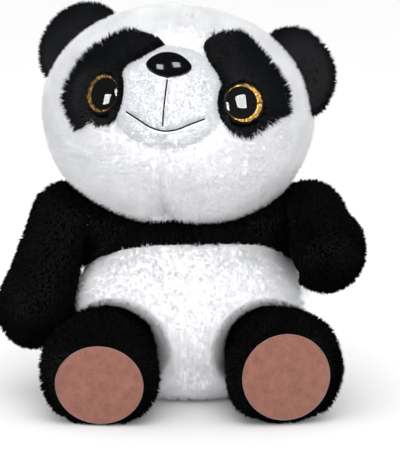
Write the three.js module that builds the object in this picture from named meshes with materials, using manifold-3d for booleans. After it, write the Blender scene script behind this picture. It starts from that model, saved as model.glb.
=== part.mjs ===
// Sitting plush panda. Millimetres, +Z up, facing -Y, resting on the plane Z = 0.
// Left and right are the toy's own. Every soft body is a sewn cover over a stuffing core.
import * as THREE from "three";
import { mergeVertices } from "three/addons/utils/BufferGeometryUtils.js";
import Module from "manifold-3d";

const wasm = await Module();
wasm.setup();

// ---- Driving dimensions -------------------------------------------------------------
const CLOTH = 4; // cover thickness with the pile pressed flat
const GAP = 0.35; // clearance between pieces that touch
const FAR = 400; // reach of the cutting blocks
const SIDES_BODY = 20; // facets round the torso and head
const SIDES_LIMB = 14; // facets round a limb
const SIDES_JOINT = 14; // facets round a ball that turns in a socket
const SIDES_SMALL = 14; // facets round eyes and nose

const TORSO_DEPTH = 0.85; // depth of the torso as a share of its width
const TORSO_PROFILE = [ // [radius, height] of the torso, seat to neck
  [50, 0], [61, 3.5], [71, 13], [77.5, 29], [80, 50], [79.5, 70],
  [76.5, 90], [69.5, 106], [58, 117], [44, 123.5], [30, 125.5],
];
const SEAT_HEIGHT = 6; // where the seat panel meets the body panels
const YOKE_BACK = 92; // lower edge of the shoulder yoke at the back
const BELLY_ARCH = { z: 38, halfWidth: 93, rise: 76 }; // white belly's upper edge
const PELLET_BAG = { y: 8, radius: 32, top: 28 };
const TAIL = { y: 69, z: 33, radius: 15 };
const LABEL = { at: [-90.7, 3.2, 44], width: 14, height: 20, thickness: 0.6 };

const NECK = { x: -5, y: 0, z: 128, radius: 30, openingZ: 21 };

const HEAD_AT = [-8, -2, 203.5];
const HEAD_PITCH = -20; // degrees, face tipped up
const HEAD_YAW = -6; // degrees, face turned to the toy's right
const HEAD_ROLL = 4;
const HEAD_AXES = [98, 77, 77];
const HEAD_SEAM_Y = -12; // seam between the face and the back of the head
const MUZZLE = { at: [1, -64, -3], axes: [40, 28, 35] };
const NOSE = { at: [1.8, -86, 15.5], axes: [16.5, 8.5, 9], stem: 2.5, stemLength: 24 };
const NOSE_WASHER = { radius: 8, thickness: 2 };
const EYE_PATCH = [ // outline of the left patch, seen from the front
  [12, 38], [24, 50], [43, 50], [61, 37], [74, 17], [77, -4],
  [68, -19], [55, -27], [46, -19], [37, -1], [31, 15], [19, 27],
];
const EYE = {
  sink: 2.1, radius: 15, back: 2.2, lensRise: 6.6, pocket: 13.7,
  iris: 13.3, pupil: 11.2, pupilShift: 1.9, stem: 2.2, stemLength: 13, washer: 8.5,
};
const EYE_AT = { left: [53, -1.5], right: [44, -4] }; // from the middle of the face, and height
const EYE_TURN = { left: 20, right: 30 }; // degrees outward
const EAR = { axes: [33, 7, 27], reach: 86, left: 25.5, right: 31.5 }; // angles above level

const ARM = {
  flat: [74.3, -5, 124], axisTilt: 9.5, standOff: 14, cone: 11.7,
  profile: [[25, 0], [23.6, 22], [24.4, 42], [26, 62], [25, 72], [20.5, 82], [11, 89]],
  end: 92, left: 86.5, right: 31, // rest angles forward of hanging
};
const SHOULDER = { radius: 20.5, depth: 22, inner: 13 };

const LEG = {
  hip: [56, -22, 39.6], ball: 29,
  profile: [[29, 0], [30.2, 18], [34.5, 38], [38.4, 54], [39.3, 66], [37.3, 77], [32, 84]],
  sole: 30.5, left: 8.5, right: 5, // rest angles outward
};
const LEG_INWARD = 20; // degrees of room cut for each leg, which turns inward 15

// ---- Materials ----------------------------------------------------------------------
const paint = (color, roughness) =>
  new THREE.MeshStandardMaterial({ color, roughness, metalness: 0 });
const BLACK_FUR = paint(0x14161a, 0.95);
const WHITE_FUR = paint(0xe9ebee, 0.95);
const STUFFING = paint(0xf2f0ea, 1);
const SUEDE = paint(0xb07462, 0.9);
const BLACK_PLASTIC = paint(0x08090a, 0.2);
const CLEAR = paint(0xdfe3e6, 0.05);
const GLITTER = paint(0xc69a3e, 0.35);
const WASHER = paint(0xe4e4e0, 0.5);
const THREAD = paint(0x101012, 0.8);
const LABEL_SATIN = paint(0xf4f4f2, 0.6);
const PELLETS = paint(0xd9d6cd, 0.9);

// ---- Solid helpers ------------------------------------------------------------------
const rad = THREE.MathUtils.degToRad;

/** Turns a closed three.js geometry into a solid. */
function solid(geometry) {
  const bare = geometry.index ? geometry.toNonIndexed() : geometry.clone();
  for (const name of Object.keys(bare.attributes)) {
    if (name !== "position") bare.deleteAttribute(name);
  }
  const merged = mergeVertices(bare, 1e-4);
  const index = merged.index.array;
  const kept = [];
  for (let i = 0; i < index.length; i += 3) {
    const [a, b, c] = [index[i], index[i + 1], index[i + 2]];
    if (a !== b && b !== c && c !== a) kept.push(a, b, c);
  }
  const mesh = new wasm.Mesh({
    numProp: 3,
    vertProperties: new Float32Array(merged.attributes.position.array),
    triVerts: new Uint32Array(kept),
  });
  return new wasm.Manifold(mesh);
}

const ringsFor = (across) => 2 * Math.round(across * 0.3);

function ball([a, b, c], [x, y, z] = [0, 0, 0], across = SIDES_LIMB) {
  const sphere = new THREE.SphereGeometry(1, across, ringsFor(across));
  return solid(sphere.rotateX(Math.PI / 2).scale(a, b, c).translate(x, y, z));
}

/** A rod along Z from low to high. */
function rod(radius, low, high, sides = SIDES_SMALL, tip = radius) {
  const shape = new THREE.CylinderGeometry(tip, radius, high - low, sides);
  return solid(shape.rotateX(Math.PI / 2).translate(0, 0, (low + high) / 2));
}

/** A block filling everything on the far side of a plane square to one axis. */
function beyond(axis, from, sign) {
  const block = new THREE.BoxGeometry(FAR, FAR, FAR);
  const shift = [0, 0, 0];
  shift[axis] = from + (sign * FAR) / 2;
  return solid(block.translate(...shift));
}

/** A solid of revolution about Z; the profile is [radius, height] from low to high. */
function turned(profile, sides = SIDES_BODY) {
  const points = profile.map(([r, h]) => new THREE.Vector2(r, h));
  if (profile[0][0] > 0) points.unshift(new THREE.Vector2(0, profile[0][1]));
  points.push(new THREE.Vector2(0, profile[profile.length - 1][1]));
  return solid(new THREE.LatheGeometry(points, sides).rotateX(Math.PI / 2));
}

/** Moves every profile point inward by an inset, level with its neighbours' slope. */
function insetProfile(profile, inset) {
  return profile.map(([r, h], i) => {
    const [r0, h0] = profile[Math.max(i - 1, 0)];
    const [r1, h1] = profile[Math.min(i + 1, profile.length - 1)];
    const length = Math.hypot(r1 - r0, h1 - h0);
    return [r - (inset * (h1 - h0)) / length, h + (inset * (r1 - r0)) / length];
  });
}

/** A limb along Z: a half ball behind the origin, then its profile. */
function limb(profile, inset) {
  const r = profile[0][0] - inset;
  const rear = [-60, -30].map((a) => [r * Math.cos(rad(a)), r * Math.sin(rad(a))]);
  return turned([[0, -r], ...rear, ...insetProfile(profile, inset)], SIDES_LIMB);
}

/** A tube of thread along a smooth curve through points. */
function thread(points, radius = 0.55, steps = 8) {
  const curve = new THREE.CatmullRomCurve3(points.map((p) => new THREE.Vector3(...p)));
  const ring = new THREE.Shape();
  ring.absarc(0, 0, radius, 0, Math.PI * 2);
  return solid(new THREE.ExtrudeGeometry(ring, {
    extrudePath: curve, steps, curveSegments: 2, bevelEnabled: false,
  }));
}

/** A prism along Y whose outline lies in X and Z. */
function prismAlongY(points, from, to) {
  const shape = new THREE.Shape(points.map(([x, z]) => new THREE.Vector2(x, z)));
  const block = new THREE.ExtrudeGeometry(shape, { depth: to - from, bevelEnabled: false });
  return solid(block.rotateX(Math.PI / 2).translate(0, to, 0));
}

/** The same solid carried by a three.js matrix. */
function carried(body, matrix) {
  return body.transform(matrix.elements.slice());
}

/** The radius of a faceted socket that clears a faceted ball however it is turned. */
const socketRadius = (radius) => (radius + GAP)
  / Math.cos(Math.PI / SIDES_JOINT) / Math.cos(Math.PI / (2 * ringsFor(SIDES_JOINT)));

/** Adds a named piece to a group, without the crumbs a grazing cut can leave. */
function add(group, name, whole, material) {
  const body = whole.decompose().sort((p, q) => q.volume() - p.volume())[0];
  const { vertProperties, triVerts, numProp } = body.getMesh();
  const geometry = new THREE.BufferGeometry();
  const position = new Float32Array((vertProperties.length / numProp) * 3);
  for (let i = 0; i < position.length / 3; i += 1) {
    for (let k = 0; k < 3; k += 1) position[i * 3 + k] = vertProperties[i * numProp + k];
  }
  geometry.setAttribute("position", new THREE.BufferAttribute(position, 3));
  geometry.setIndex(Array.from(triVerts));
  geometry.computeVertexNormals();
  const mesh = new THREE.Mesh(geometry, material.clone());
  mesh.name = name;
  group.add(mesh);
  return mesh;
}


/** A smooth closed outline through a few corner points. */
function smoothOutline(corners, count = 36) {
  const curve = new THREE.CatmullRomCurve3(
    corners.map(([x, z]) => new THREE.Vector3(x, z, 0)), true);
  return curve.getPoints(count).slice(0, count).map((p) => [p.x, p.y]);
}

/** A frame at a point whose Z axis is `out`, with X kept as level as possible. */
function frameAt(at, out) {
  const z = new THREE.Vector3(...out).normalize();
  const x = new THREE.Vector3(0, 0, 1).cross(z).normalize();
  const y = new THREE.Vector3().crossVectors(z, x);
  return new THREE.Matrix4().makeBasis(x, y, z).setPosition(...at);
}

const panda = new THREE.Group();
panda.name = "plush_panda";

// ---- Shoulders and hips, which the torso is cut to suit --------------------------------
const SIDES = { left: 1, right: -1 };

/** The arm's frame: X along the swing axis pointing out, Z up, at the flat joint face. */
function armFrame(side) {
  const tilt = rad(ARM.axisTilt);
  const out = new THREE.Vector3(side * Math.cos(tilt), 0, Math.sin(tilt));
  const fore = new THREE.Vector3(0, -1, 0);
  const up = new THREE.Vector3(-side * Math.sin(tilt), 0, Math.cos(tilt));
  const [x, y, z] = ARM.flat;
  return { out, fore, up, at: new THREE.Vector3(side * x, y, z) };
}

/** A frame whose Z axis runs out of the torso along the arm's swing axis. */
function shoulderMatrix(side) {
  const { out, fore, at } = armFrame(side);
  const y = new THREE.Vector3().crossVectors(out, fore);
  return new THREE.Matrix4().makeBasis(fore, y, out).setPosition(at);
}

function shoulderStub(side, inset) {
  const cone = rod(SHOULDER.inner - inset, -SHOULDER.depth, -GAP / 2 - inset, SIDES_LIMB,
    SHOULDER.radius - inset);
  return carried(cone, shoulderMatrix(side));
}

/** The leg's frame: Z runs from the hip to the sole. */
function legMatrix(side, outward) {
  const turn = rad(outward);
  const [x, y, z] = LEG.hip;
  return frameAt([side * x, y, z], [side * Math.sin(turn), -Math.cos(turn), 0]);
}

const legSolid = (inset) => limb(LEG.profile, inset);

/** The room a leg needs in the torso to turn inward from rest. */
function legRoomSolid(side, rest) {
  const sweep = Math.sin(rad(LEG_INWARD / 2));
  const facet = Math.cos(Math.PI / SIDES_LIMB);
  const ballRoom = (LEG.ball + GAP) / facet / Math.cos(rad(15));
  const wider = [2, 4, 6].map((i) => LEG.profile[i])
    .map(([r, t]) => [(r + GAP + 1 + t * sweep) / facet, t]);
  const room = limb([[ballRoom, 0], ...wider], 0);
  return carried(room, legMatrix(side, rest - LEG_INWARD / 2));
}

// ---- Torso ---------------------------------------------------------------------------
const torso = new THREE.Group();
torso.name = "torso";
panda.add(torso);

const neckHole = ball(Array(3).fill(socketRadius(NECK.radius)), [NECK.x, NECK.y, NECK.z],
  SIDES_JOINT);
const legRoom = legRoomSolid(1, LEG.left).add(legRoomSolid(-1, LEG.right));

function torsoBody(inset) {
  let body = carried(turned(insetProfile(TORSO_PROFILE, inset)),
    new THREE.Matrix4().makeScale(1, TORSO_DEPTH, 1));
  for (const side of [1, -1]) body = body.add(shoulderStub(side, inset));
  return body;
}
const openings = (body) => body.subtract(neckHole).subtract(legRoom);

const torsoCover = openings(torsoBody(0).subtract(torsoBody(CLOTH)));
const half = GAP / 2;

const arch = [];
for (let i = 0; i <= 20; i += 1) {
  const a = (Math.PI * i) / 20;
  arch.push([BELLY_ARCH.halfWidth * Math.cos(a), BELLY_ARCH.z + BELLY_ARCH.rise * Math.sin(a)]);
}
const bellyRegion = (grow) => prismAlongY(
  [...arch.map(([x, z]) => [x * (1 + grow / 90), z + grow]), [-120, -20], [120, -20]],
  -FAR, 0).subtract(beyond(2, SEAT_HEIGHT + half - grow * 2, -1));

const front = torsoCover.subtract(beyond(1, -half, 1));
const back = torsoCover.subtract(beyond(1, half, -1));
const aboveSeat = beyond(2, SEAT_HEIGHT + half, -1);

const belly = front.intersect(bellyRegion(0)).subtract(aboveSeat);
add(torso, "belly_left_panel", belly.subtract(beyond(0, half, -1)), WHITE_FUR);
add(torso, "belly_right_panel", belly.subtract(beyond(0, -half, 1)), WHITE_FUR);
add(torso, "chest_yoke", front.subtract(bellyRegion(GAP)).subtract(aboveSeat), BLACK_FUR);
add(torso, "back_yoke", back.subtract(beyond(2, YOKE_BACK + half, -1)), BLACK_FUR);

const lowerBack = back.subtract(beyond(2, YOKE_BACK - half, 1)).subtract(aboveSeat);
add(torso, "lower_back_left_panel", lowerBack.subtract(beyond(0, half, -1)), WHITE_FUR);
add(torso, "lower_back_right_panel", lowerBack.subtract(beyond(0, -half, 1)), WHITE_FUR);
add(torso, "seat_panel", torsoCover.subtract(beyond(2, SEAT_HEIGHT - half, 1)), WHITE_FUR);

const bagRoom = rod(PELLET_BAG.radius + GAP, 0, PELLET_BAG.top + GAP);
const core = openings(torsoBody(CLOTH + GAP));
add(torso, "torso_stuffing", core.subtract(bagRoom.translate(0, PELLET_BAG.y, 0)), STUFFING);
const bag = rod(PELLET_BAG.radius, CLOTH + GAP, PELLET_BAG.top);
add(torso, "pellet_bag", bag.translate(0, PELLET_BAG.y, 0), PELLETS);

const tailAt = [0, TAIL.y, TAIL.z];
const tailRoom = carried(turned(insetProfile(TORSO_PROFILE, -GAP)),
  new THREE.Matrix4().makeScale(1, TORSO_DEPTH, 1));
const tailOuter = ball(Array(3).fill(TAIL.radius), tailAt, 10).subtract(tailRoom);
const tailInner = ball(Array(3).fill(TAIL.radius - CLOTH), tailAt, 10);
const tailCore = ball(Array(3).fill(TAIL.radius - CLOTH - GAP), tailAt, 10);
add(torso, "tail_cover", tailOuter.subtract(tailInner), WHITE_FUR);
add(torso, "tail_stuffing", tailCore.subtract(tailRoom), STUFFING);

const labelPlate = solid(new THREE.BoxGeometry(LABEL.height, LABEL.thickness, LABEL.width));
add(torso, "care_label", labelPlate.translate(...LABEL.at), LABEL_SATIN);

// ---- Neck ----------------------------------------------------------------------------
const neck = new THREE.Group();
neck.name = "neck";
panda.add(neck);

const neckAt = [NECK.x, NECK.y, NECK.z];
const neckBand = ball(Array(3).fill(NECK.radius), neckAt, SIDES_JOINT)
  .subtract(ball(Array(3).fill(NECK.radius - CLOTH), neckAt, SIDES_JOINT))
  .subtract(beyond(2, NECK.z + NECK.openingZ, 1))
  .subtract(beyond(2, NECK.z - NECK.openingZ, -1));
add(neck, "neck_cover", neckBand, BLACK_FUR);
add(neck, "neck_stuffing",
  ball(Array(3).fill(NECK.radius - CLOTH - GAP), neckAt, SIDES_JOINT), STUFFING);

// ---- Head ----------------------------------------------------------------------------
const head = new THREE.Group();
head.name = "head";
head.position.set(...HEAD_AT);
head.rotation.set(rad(HEAD_PITCH), rad(HEAD_ROLL), rad(HEAD_YAW), "ZXY");
head.updateMatrixWorld(true);
panda.add(head);

const toHead = head.matrixWorld.clone().invert();
const neckInHead = new THREE.Vector3(...neckAt).applyMatrix4(toHead);
const neckSocket = ball(Array(3).fill(socketRadius(NECK.radius)), neckInHead.toArray(),
  SIDES_JOINT);

const shrunk = (axes, inset) => axes.map((a) => a - inset);
const headBall = (inset) => ball(shrunk(HEAD_AXES, inset), [0, 0, 0], SIDES_BODY);
const muzzleBall = (inset) => ball(shrunk(MUZZLE.axes, inset), MUZZLE.at);

/** Point on the muzzle, or on the face around it, at a given x and z. */
function facePoint(x, z, lift = 0) {
  const depths = [[MUZZLE.axes, MUZZLE.at], [HEAD_AXES, [0, 0, 0]]].map(([axes, at]) => {
    const [a, b, c] = axes.map((value) => value + lift);
    const rest = 1 - ((x - at[0]) / a) ** 2 - ((z - at[2]) / c) ** 2;
    return rest > 0 ? at[1] - b * Math.sqrt(rest) : Infinity;
  });
  return [x, Math.min(...depths), z];
}

// Eyes: each frame has Z out of the face, its origin on the plastic back's seat.
const eyeFrames = {};
for (const [name, side] of Object.entries(SIDES)) {
  const [a, b, c] = HEAD_AXES;
  const [aside, z] = EYE_AT[name];
  const x = side * aside;
  const y = -b * Math.sqrt(1 - (x / a) ** 2 - (z / c) ** 2);
  const turn = rad(EYE_TURN[name]);
  const out = [side * Math.sin(turn), -Math.cos(turn), z / 100];
  const seat = frameAt([x, y, z], out);
  eyeFrames[name] = seat.multiply(new THREE.Matrix4().makeTranslation(0, 0, -EYE.sink));
}
const eyeSpace = (name, body) => carried(body, eyeFrames[name]);

// Nose: a moulded piece with a stem through the muzzle and the face to a lock washer.
const noseStem = (radius, length) => {
  const turn = new THREE.Matrix4().makeRotationX(Math.PI / 2);
  turn.setPosition(...NOSE.at);
  return carried(rod(radius, -length, 0, 10), turn);
};

const eyeHoles = Object.keys(SIDES).map((name) => eyeSpace(name, rod(EYE.radius + GAP, -half, 40)
  .add(rod(EYE.stem + GAP, -30, 0, 10))));

const headShell = headBall(0).subtract(headBall(CLOTH)).subtract(neckSocket);
let face = headShell.subtract(beyond(1, HEAD_SEAM_Y - half, 1));
for (const hole of eyeHoles) face = face.subtract(hole);
face = face.subtract(noseStem(NOSE.stem + GAP, 40));

const mirrored = (corners, side) => (side > 0 ? corners
  : corners.map(([x, z]) => [-x, z]).reverse());
const patchOutline = smoothOutline(EYE_PATCH);
const patchGrown = (() => {
  const n = patchOutline.length;
  return patchOutline.map(([x, z], i) => {
    const [x0, z0] = patchOutline[(i + n - 1) % n];
    const [x1, z1] = patchOutline[(i + 1) % n];
    const length = Math.hypot(x1 - x0, z1 - z0);
    return [x + (GAP * (z0 - z1)) / length, z + (GAP * (x1 - x0)) / length];
  });
})();

for (const [name, side] of Object.entries(SIDES)) {
  const patch = prismAlongY(mirrored(patchOutline, side), -FAR, -half);
  const room = prismAlongY(mirrored(patchGrown, side), -FAR, -half);
  add(head, `eye_patch_${name}`, face.intersect(patch), BLACK_FUR);
  const side0 = face.subtract(room).subtract(beyond(0, side * half, -side));
  add(head, `face_${name}_panel`, side0, WHITE_FUR);
  const rear = headShell.subtract(beyond(1, HEAD_SEAM_Y + half, -1))
    .subtract(beyond(0, side * half, -side));
  add(head, `head_back_${name}_panel`, rear, WHITE_FUR);
}

const overFace = headBall(-GAP);
const fitMuzzle = (body) => eyeHoles.reduce((rest, hole) => rest.subtract(hole), body)
  .subtract(overFace).subtract(noseStem(NOSE.stem + GAP, 60));
add(head, "muzzle_cover", fitMuzzle(muzzleBall(0).subtract(muzzleBall(CLOTH))), WHITE_FUR);
add(head, "muzzle_stuffing", fitMuzzle(muzzleBall(CLOTH + GAP)), STUFFING);

const noseBody = ball(NOSE.axes, NOSE.at).subtract(muzzleBall(-GAP)).subtract(overFace);
add(head, "nose", noseBody.add(noseStem(NOSE.stem, NOSE.stemLength)), BLACK_PLASTIC);
const washerAt = new THREE.Matrix4().makeRotationX(Math.PI / 2);
washerAt.setPosition(NOSE.at[0], NOSE.at[1] + 20, NOSE.at[2]);
const washerRing = (inner, outer, thickness) => rod(outer, -thickness, 0, 16)
  .subtract(rod(inner, -thickness - 1, 1, 10));
add(head, "nose_washer", carried(
  washerRing(NOSE.stem + GAP, NOSE_WASHER.radius, NOSE_WASHER.thickness), washerAt), WASHER);

const lip = 0.9; // height of the thread's centre line above the pile
add(head, "philtrum_thread", thread([[2.6, 4.5], [2.5, -4], [2.2, -15], [2, -26.5]]
  .map(([x, z]) => facePoint(x, z, lip))), THREAD);
add(head, "mouth_thread", thread(
  [[-24.5, -18], [-15.5, -23], [-6.5, -27.6], [2.5, -29.3], [11.5, -27.6], [20.5, -23],
    [29.5, -18]]
    .map(([x, z]) => facePoint(x, z, lip)), 0.55, 14), THREAD);

let headCore = headBall(CLOTH + GAP).subtract(neckSocket);
for (const [name, side] of Object.entries(SIDES)) {
  const r = EYE.radius;
  add(head, `eye_${name}_back`, eyeSpace(name, rod(r, 0, EYE.back)
    .add(rod(EYE.stem, -EYE.stemLength, 0.5, 10))), BLACK_PLASTIC);
  const z0 = EYE.back + GAP;
  add(head, `eye_${name}_iris`, eyeSpace(name, rod(EYE.iris, z0, z0 + 0.6)), GLITTER);
  const inward = new THREE.Matrix4().makeTranslation(-side * EYE.pupilShift, 0, 0);
  const z1 = z0 + 0.6 + GAP;
  add(head, `eye_${name}_pupil`, eyeSpace(name,
    carried(rod(EYE.pupil, z1, z1 + 0.6), inward)), BLACK_PLASTIC);
  const dome = ball([r, r, EYE.lensRise], [0, 0, z0]).subtract(beyond(2, z0, -1))
    .subtract(rod(EYE.pocket, z0 - 1, z1 + 0.6 + GAP));
  add(head, `eye_${name}_lens`, eyeSpace(name, dome), CLEAR);
  const washer = washerRing(EYE.stem + GAP, EYE.washer, 2);
  const depth = new THREE.Matrix4().makeTranslation(0, 0, -6);
  add(head, `eye_${name}_washer`, eyeSpace(name, carried(washer, depth)), WASHER);
  headCore = headCore.subtract(eyeSpace(name, rod(EYE.washer + GAP, -8 - GAP, 0, 12)
    .add(rod(EYE.stem + GAP, -EYE.stemLength - 1, 0, 10))));
}
headCore = headCore.subtract(noseStem(NOSE.stem + GAP, 60))
  .subtract(carried(rod(NOSE_WASHER.radius + GAP, -NOSE_WASHER.thickness - 12, 20, 12), washerAt));
add(head, "head_stuffing", headCore, STUFFING);

for (const [name, side] of Object.entries(SIDES)) {
  const angle = rad(EAR[name]);
  const along = new THREE.Matrix4().makeRotationY(side > 0 ? Math.PI / 2 - angle
    : angle - Math.PI / 2);
  const at = new THREE.Matrix4().makeTranslation(
    side * EAR.reach * Math.cos(angle), HEAD_SEAM_Y, EAR.reach * Math.sin(angle));
  const lobe = carried(ball(EAR.axes, [0, 0, 0]), at.multiply(along)).subtract(overFace);
  add(head, `ear_${name}_front`, lobe.subtract(beyond(1, HEAD_SEAM_Y - half, 1)), BLACK_FUR);
  add(head, `ear_${name}_back`, lobe.subtract(beyond(1, HEAD_SEAM_Y + half, -1)), BLACK_FUR);
}

// ---- Arms ----------------------------------------------------------------------------
for (const [name, side] of Object.entries(SIDES)) {
  const arm = new THREE.Group();
  arm.name = `arm_${name}`;
  panda.add(arm);
  const { out, fore, up, at } = armFrame(side);
  const swing = rad(ARM[name]);
  const cone = rad(ARM.cone);
  const reach = fore.clone().multiplyScalar(Math.sin(swing))
    .addScaledVector(up, -Math.cos(swing)).multiplyScalar(Math.cos(cone))
    .addScaledVector(out, Math.sin(cone));
  const start = at.clone().addScaledVector(out, ARM.standOff);
  const width = out.clone().addScaledVector(reach, -out.dot(reach)).normalize();
  const armMatrix = new THREE.Matrix4().makeBasis(
    width, new THREE.Vector3().crossVectors(reach, width), reach).setPosition(start);
  const inside = carried(beyond(2, half, -1), shoulderMatrix(side));
  const armSolid = (inset) => carried(limb(ARM.profile, inset), armMatrix);
  const wall = carried(beyond(2, half + CLOTH, -1), shoulderMatrix(side));
  const cover = armSolid(0).subtract(inside).subtract(armSolid(CLOTH).subtract(wall));
  const split = (sign) => carried(beyond(0, sign * half, -sign), armMatrix);
  add(arm, `arm_${name}_outer_panel`, cover.subtract(split(1)), BLACK_FUR);
  add(arm, `arm_${name}_inner_panel`, cover.subtract(split(-1)), BLACK_FUR);
  const packed = carried(beyond(2, half + CLOTH + GAP, -1), shoulderMatrix(side));
  add(arm, `arm_${name}_stuffing`, armSolid(CLOTH + GAP).subtract(packed), STUFFING);
}

// ---- Legs ----------------------------------------------------------------------------
for (const [name, side] of Object.entries(SIDES)) {
  const leg = new THREE.Group();
  leg.name = `leg_${name}`;
  panda.add(leg);
  const matrix = legMatrix(side, LEG[name]);
  const place = (body) => carried(body, matrix);
  const tip = LEG.profile[LEG.profile.length - 1][1];
  const sole = rod(LEG.sole, tip - CLOTH, tip);
  const soleRoom = rod(LEG.sole + GAP, tip - CLOTH - GAP, tip + 1);
  const core0 = legSolid(CLOTH + GAP).subtract(beyond(2, tip - CLOTH - GAP, 1));
  const cover = legSolid(0).subtract(legSolid(CLOTH)).subtract(soleRoom);
  add(leg, `leg_${name}_outer_panel`, place(cover.subtract(beyond(0, side * half, -side))),
    BLACK_FUR);
  add(leg, `leg_${name}_inner_panel`, place(cover.subtract(beyond(0, -side * half, side))),
    BLACK_FUR);
  add(leg, `leg_${name}_sole`, place(sole), SUEDE);
  add(leg, `leg_${name}_stuffing`, place(core0), STUFFING);
}

export default panda;
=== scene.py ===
"""Sitting plush panda: padded bodies, pile, eyes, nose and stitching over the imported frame."""
import math

import bpy
import numpy as np
from bpy.props import FloatProperty, FloatVectorProperty, PointerProperty
from bpy.types import Operator, Panel, PropertyGroup
from mathutils import Matrix, Vector
from mathutils.kdtree import KDTree


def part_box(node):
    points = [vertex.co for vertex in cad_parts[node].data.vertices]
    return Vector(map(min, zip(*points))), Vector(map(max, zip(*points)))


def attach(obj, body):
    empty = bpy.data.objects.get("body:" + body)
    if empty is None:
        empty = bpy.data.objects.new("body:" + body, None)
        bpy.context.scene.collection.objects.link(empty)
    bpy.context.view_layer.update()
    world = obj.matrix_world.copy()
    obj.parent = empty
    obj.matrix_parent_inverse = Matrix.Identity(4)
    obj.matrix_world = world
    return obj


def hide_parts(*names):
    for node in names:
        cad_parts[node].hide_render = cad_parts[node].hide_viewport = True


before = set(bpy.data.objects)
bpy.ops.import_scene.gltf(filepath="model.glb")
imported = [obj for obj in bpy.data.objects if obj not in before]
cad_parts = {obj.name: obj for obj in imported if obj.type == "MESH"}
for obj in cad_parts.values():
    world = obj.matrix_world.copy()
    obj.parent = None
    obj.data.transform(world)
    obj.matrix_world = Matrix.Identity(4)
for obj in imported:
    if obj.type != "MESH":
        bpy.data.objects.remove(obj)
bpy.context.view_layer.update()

bl_info = {
    "name": "Plush panda",
    "version": (1, 0, 0),
    "blender": (4, 5, 0),
    "location": "View3D > Sidebar > Panda",
    "description": "Makes the padded bodies, pile, eyes and stitching of a sitting plush panda",
    "category": "Object",
}

MM = 0.001
SIDES = {"left": 1, "right": -1}
PILE_MAP = "OFBake"  # across: the shade of each lock; up: root to tip

FILL_PRESSURE, FILL_FRAMES = 4.0, 20

# The forms the covers share with the frame. Lengths are in millimetres and angles in degrees;
# a profile is a list of radius and height, and "left" is the toy's own left.
CLOTH = 1.5  # the covers lie this far inside the frame's panels

TORSO_DEPTH = 0.85  # share of its width
TORSO_PROFILE = [(50, 0), (61, 3.5), (71, 13), (77.5, 29), (80, 50), (79.5, 70), (76.5, 90),
                 (69.5, 106), (58, 117), (44, 123.5), (30, 125.5)]
YOKE_BACK = 92  # height of the yoke's lower edge behind
BELLY = (5, 58, 90, 58)  # the arch's middle across and up, its half width and its rise
BELLY_ROUND = (88.5, 51, 55), (3, -24, 63)  # half size and middle of the filled belly
SHOULDER_ROUND = (25, 24, 21), (50, -5, 108)  # the same, for the left shoulder
TAIL_RADIUS, TAIL_AT = 13.5, (0, 69, 33)

SHOULDER_TILT, ARM_SPREAD = 9.5, 11.7
ARM_FLAT = (74.3, -5, 124)  # middle of the flat face where the left arm joins
ARM_ROOT, LEG_ROOT = 23.5, 27.5  # radii of the rounded joint ends
ARM_PROFILE = [(25, 0), (23.6, 22), (24.4, 42), (26, 62), (25, 72), (20.5, 82), (11, 89)]
ARM_REST = {"left": 86.5, "right": 31}  # forward swing at rest
ARM_BEND = {"left": (-8, 0, -10), "right": (1, 0, -6)}  # how the filled paw sags

LEG_HIP = (56, -22, 39.6)
LEG_PROFILE = [(29, 0), (30.2, 18), (34.5, 38), (38.4, 54), (39.3, 66), (37.3, 77), (32, 84)]
LEG_REST = {"left": 8.5, "right": 5}  # outward turn at rest
THIGH_LEAN = {"left": (0.95, 0.34), "right": (1.25, 0.4)}  # radians above the inner side, share
SOLE_SHIFT = {"left": (-0.5, -5), "right": (1.5, -10.5)}  # across and up
SOLE_HEIGHT = {"left": 1.0, "right": 0.9}  # share of its width
SOLE_FROM, SOLE_EDGE = 79.5, 29.8  # where the sole starts along the leg, and its bare radius

EAR_SEATS = {"left": (22.5, 88.5), "right": (29, 84.5)}  # angle above level, and reach
FACE_HALF = (98, 77)  # half width, and half depth and height, of the face's outside
EYE_AT = {"left": (53, -1.5), "right": (44, -4)}  # from the middle of the face, and height
EYE_TURN = {"left": 20, "right": 30}  # how far each eye looks aside
EYE_RING = 4.5  # black pile all round each eye
LENS_FOOT, LENS_RISE, LENS_POCKET = 2.55, 6.6, 13.7  # heights, and radius of the hollow behind
EYE_PATCH = {
    "right": [(-1, 33), (-13, 42), (-30, 44), (-50, 34), (-63, 22), (-70, 9), (-74, -5),
              (-70, -15), (-62, -27), (-55, -28), (-47, -20), (-36, -12), (-30, 3),
              (-26, 13), (-15, 19)],
    "left": [(18, 36), (22, 45), (35, 51), (48, 49), (61, 38), (74, 23), (80, 12), (82, -3),
             (74, -9), (66, -17), (57, -24), (50, -23), (41, -12), (35, 4), (31, 13),
             (23, 23)],
}
PATCH_MARGIN = 3.2  # the long pile is combed this far over the white
PHILTRUM = [(2.6, 4.5), (2.5, -4), (2.2, -15), (2, -26.5)]
MOUTH = [(-24.5, -18), (-15.5, -23), (-6.5, -27.6), (2.5, -29.3), (11.5, -27.6), (20.5, -23),
         (29.5, -18)]


# ---- Sizes and colours a maker would change ------------------------------------------
def length_mm(name, description, default, high=500.0):
    return FloatProperty(name=name, description=description + ", in millimetres",
                         default=default, min=0.0, max=high)


def angle_deg(name, description, default):
    return FloatProperty(name=name, description=description, default=math.radians(default),
                         subtype="ANGLE")


def colour(name, description, default):
    return FloatVectorProperty(name=name, description=description, default=default, size=3,
                               min=0, max=1, subtype="COLOR")


def point_mm(name, description, default):
    return FloatVectorProperty(name=name, description=description + ", in millimetres",
                               default=default)


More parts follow.
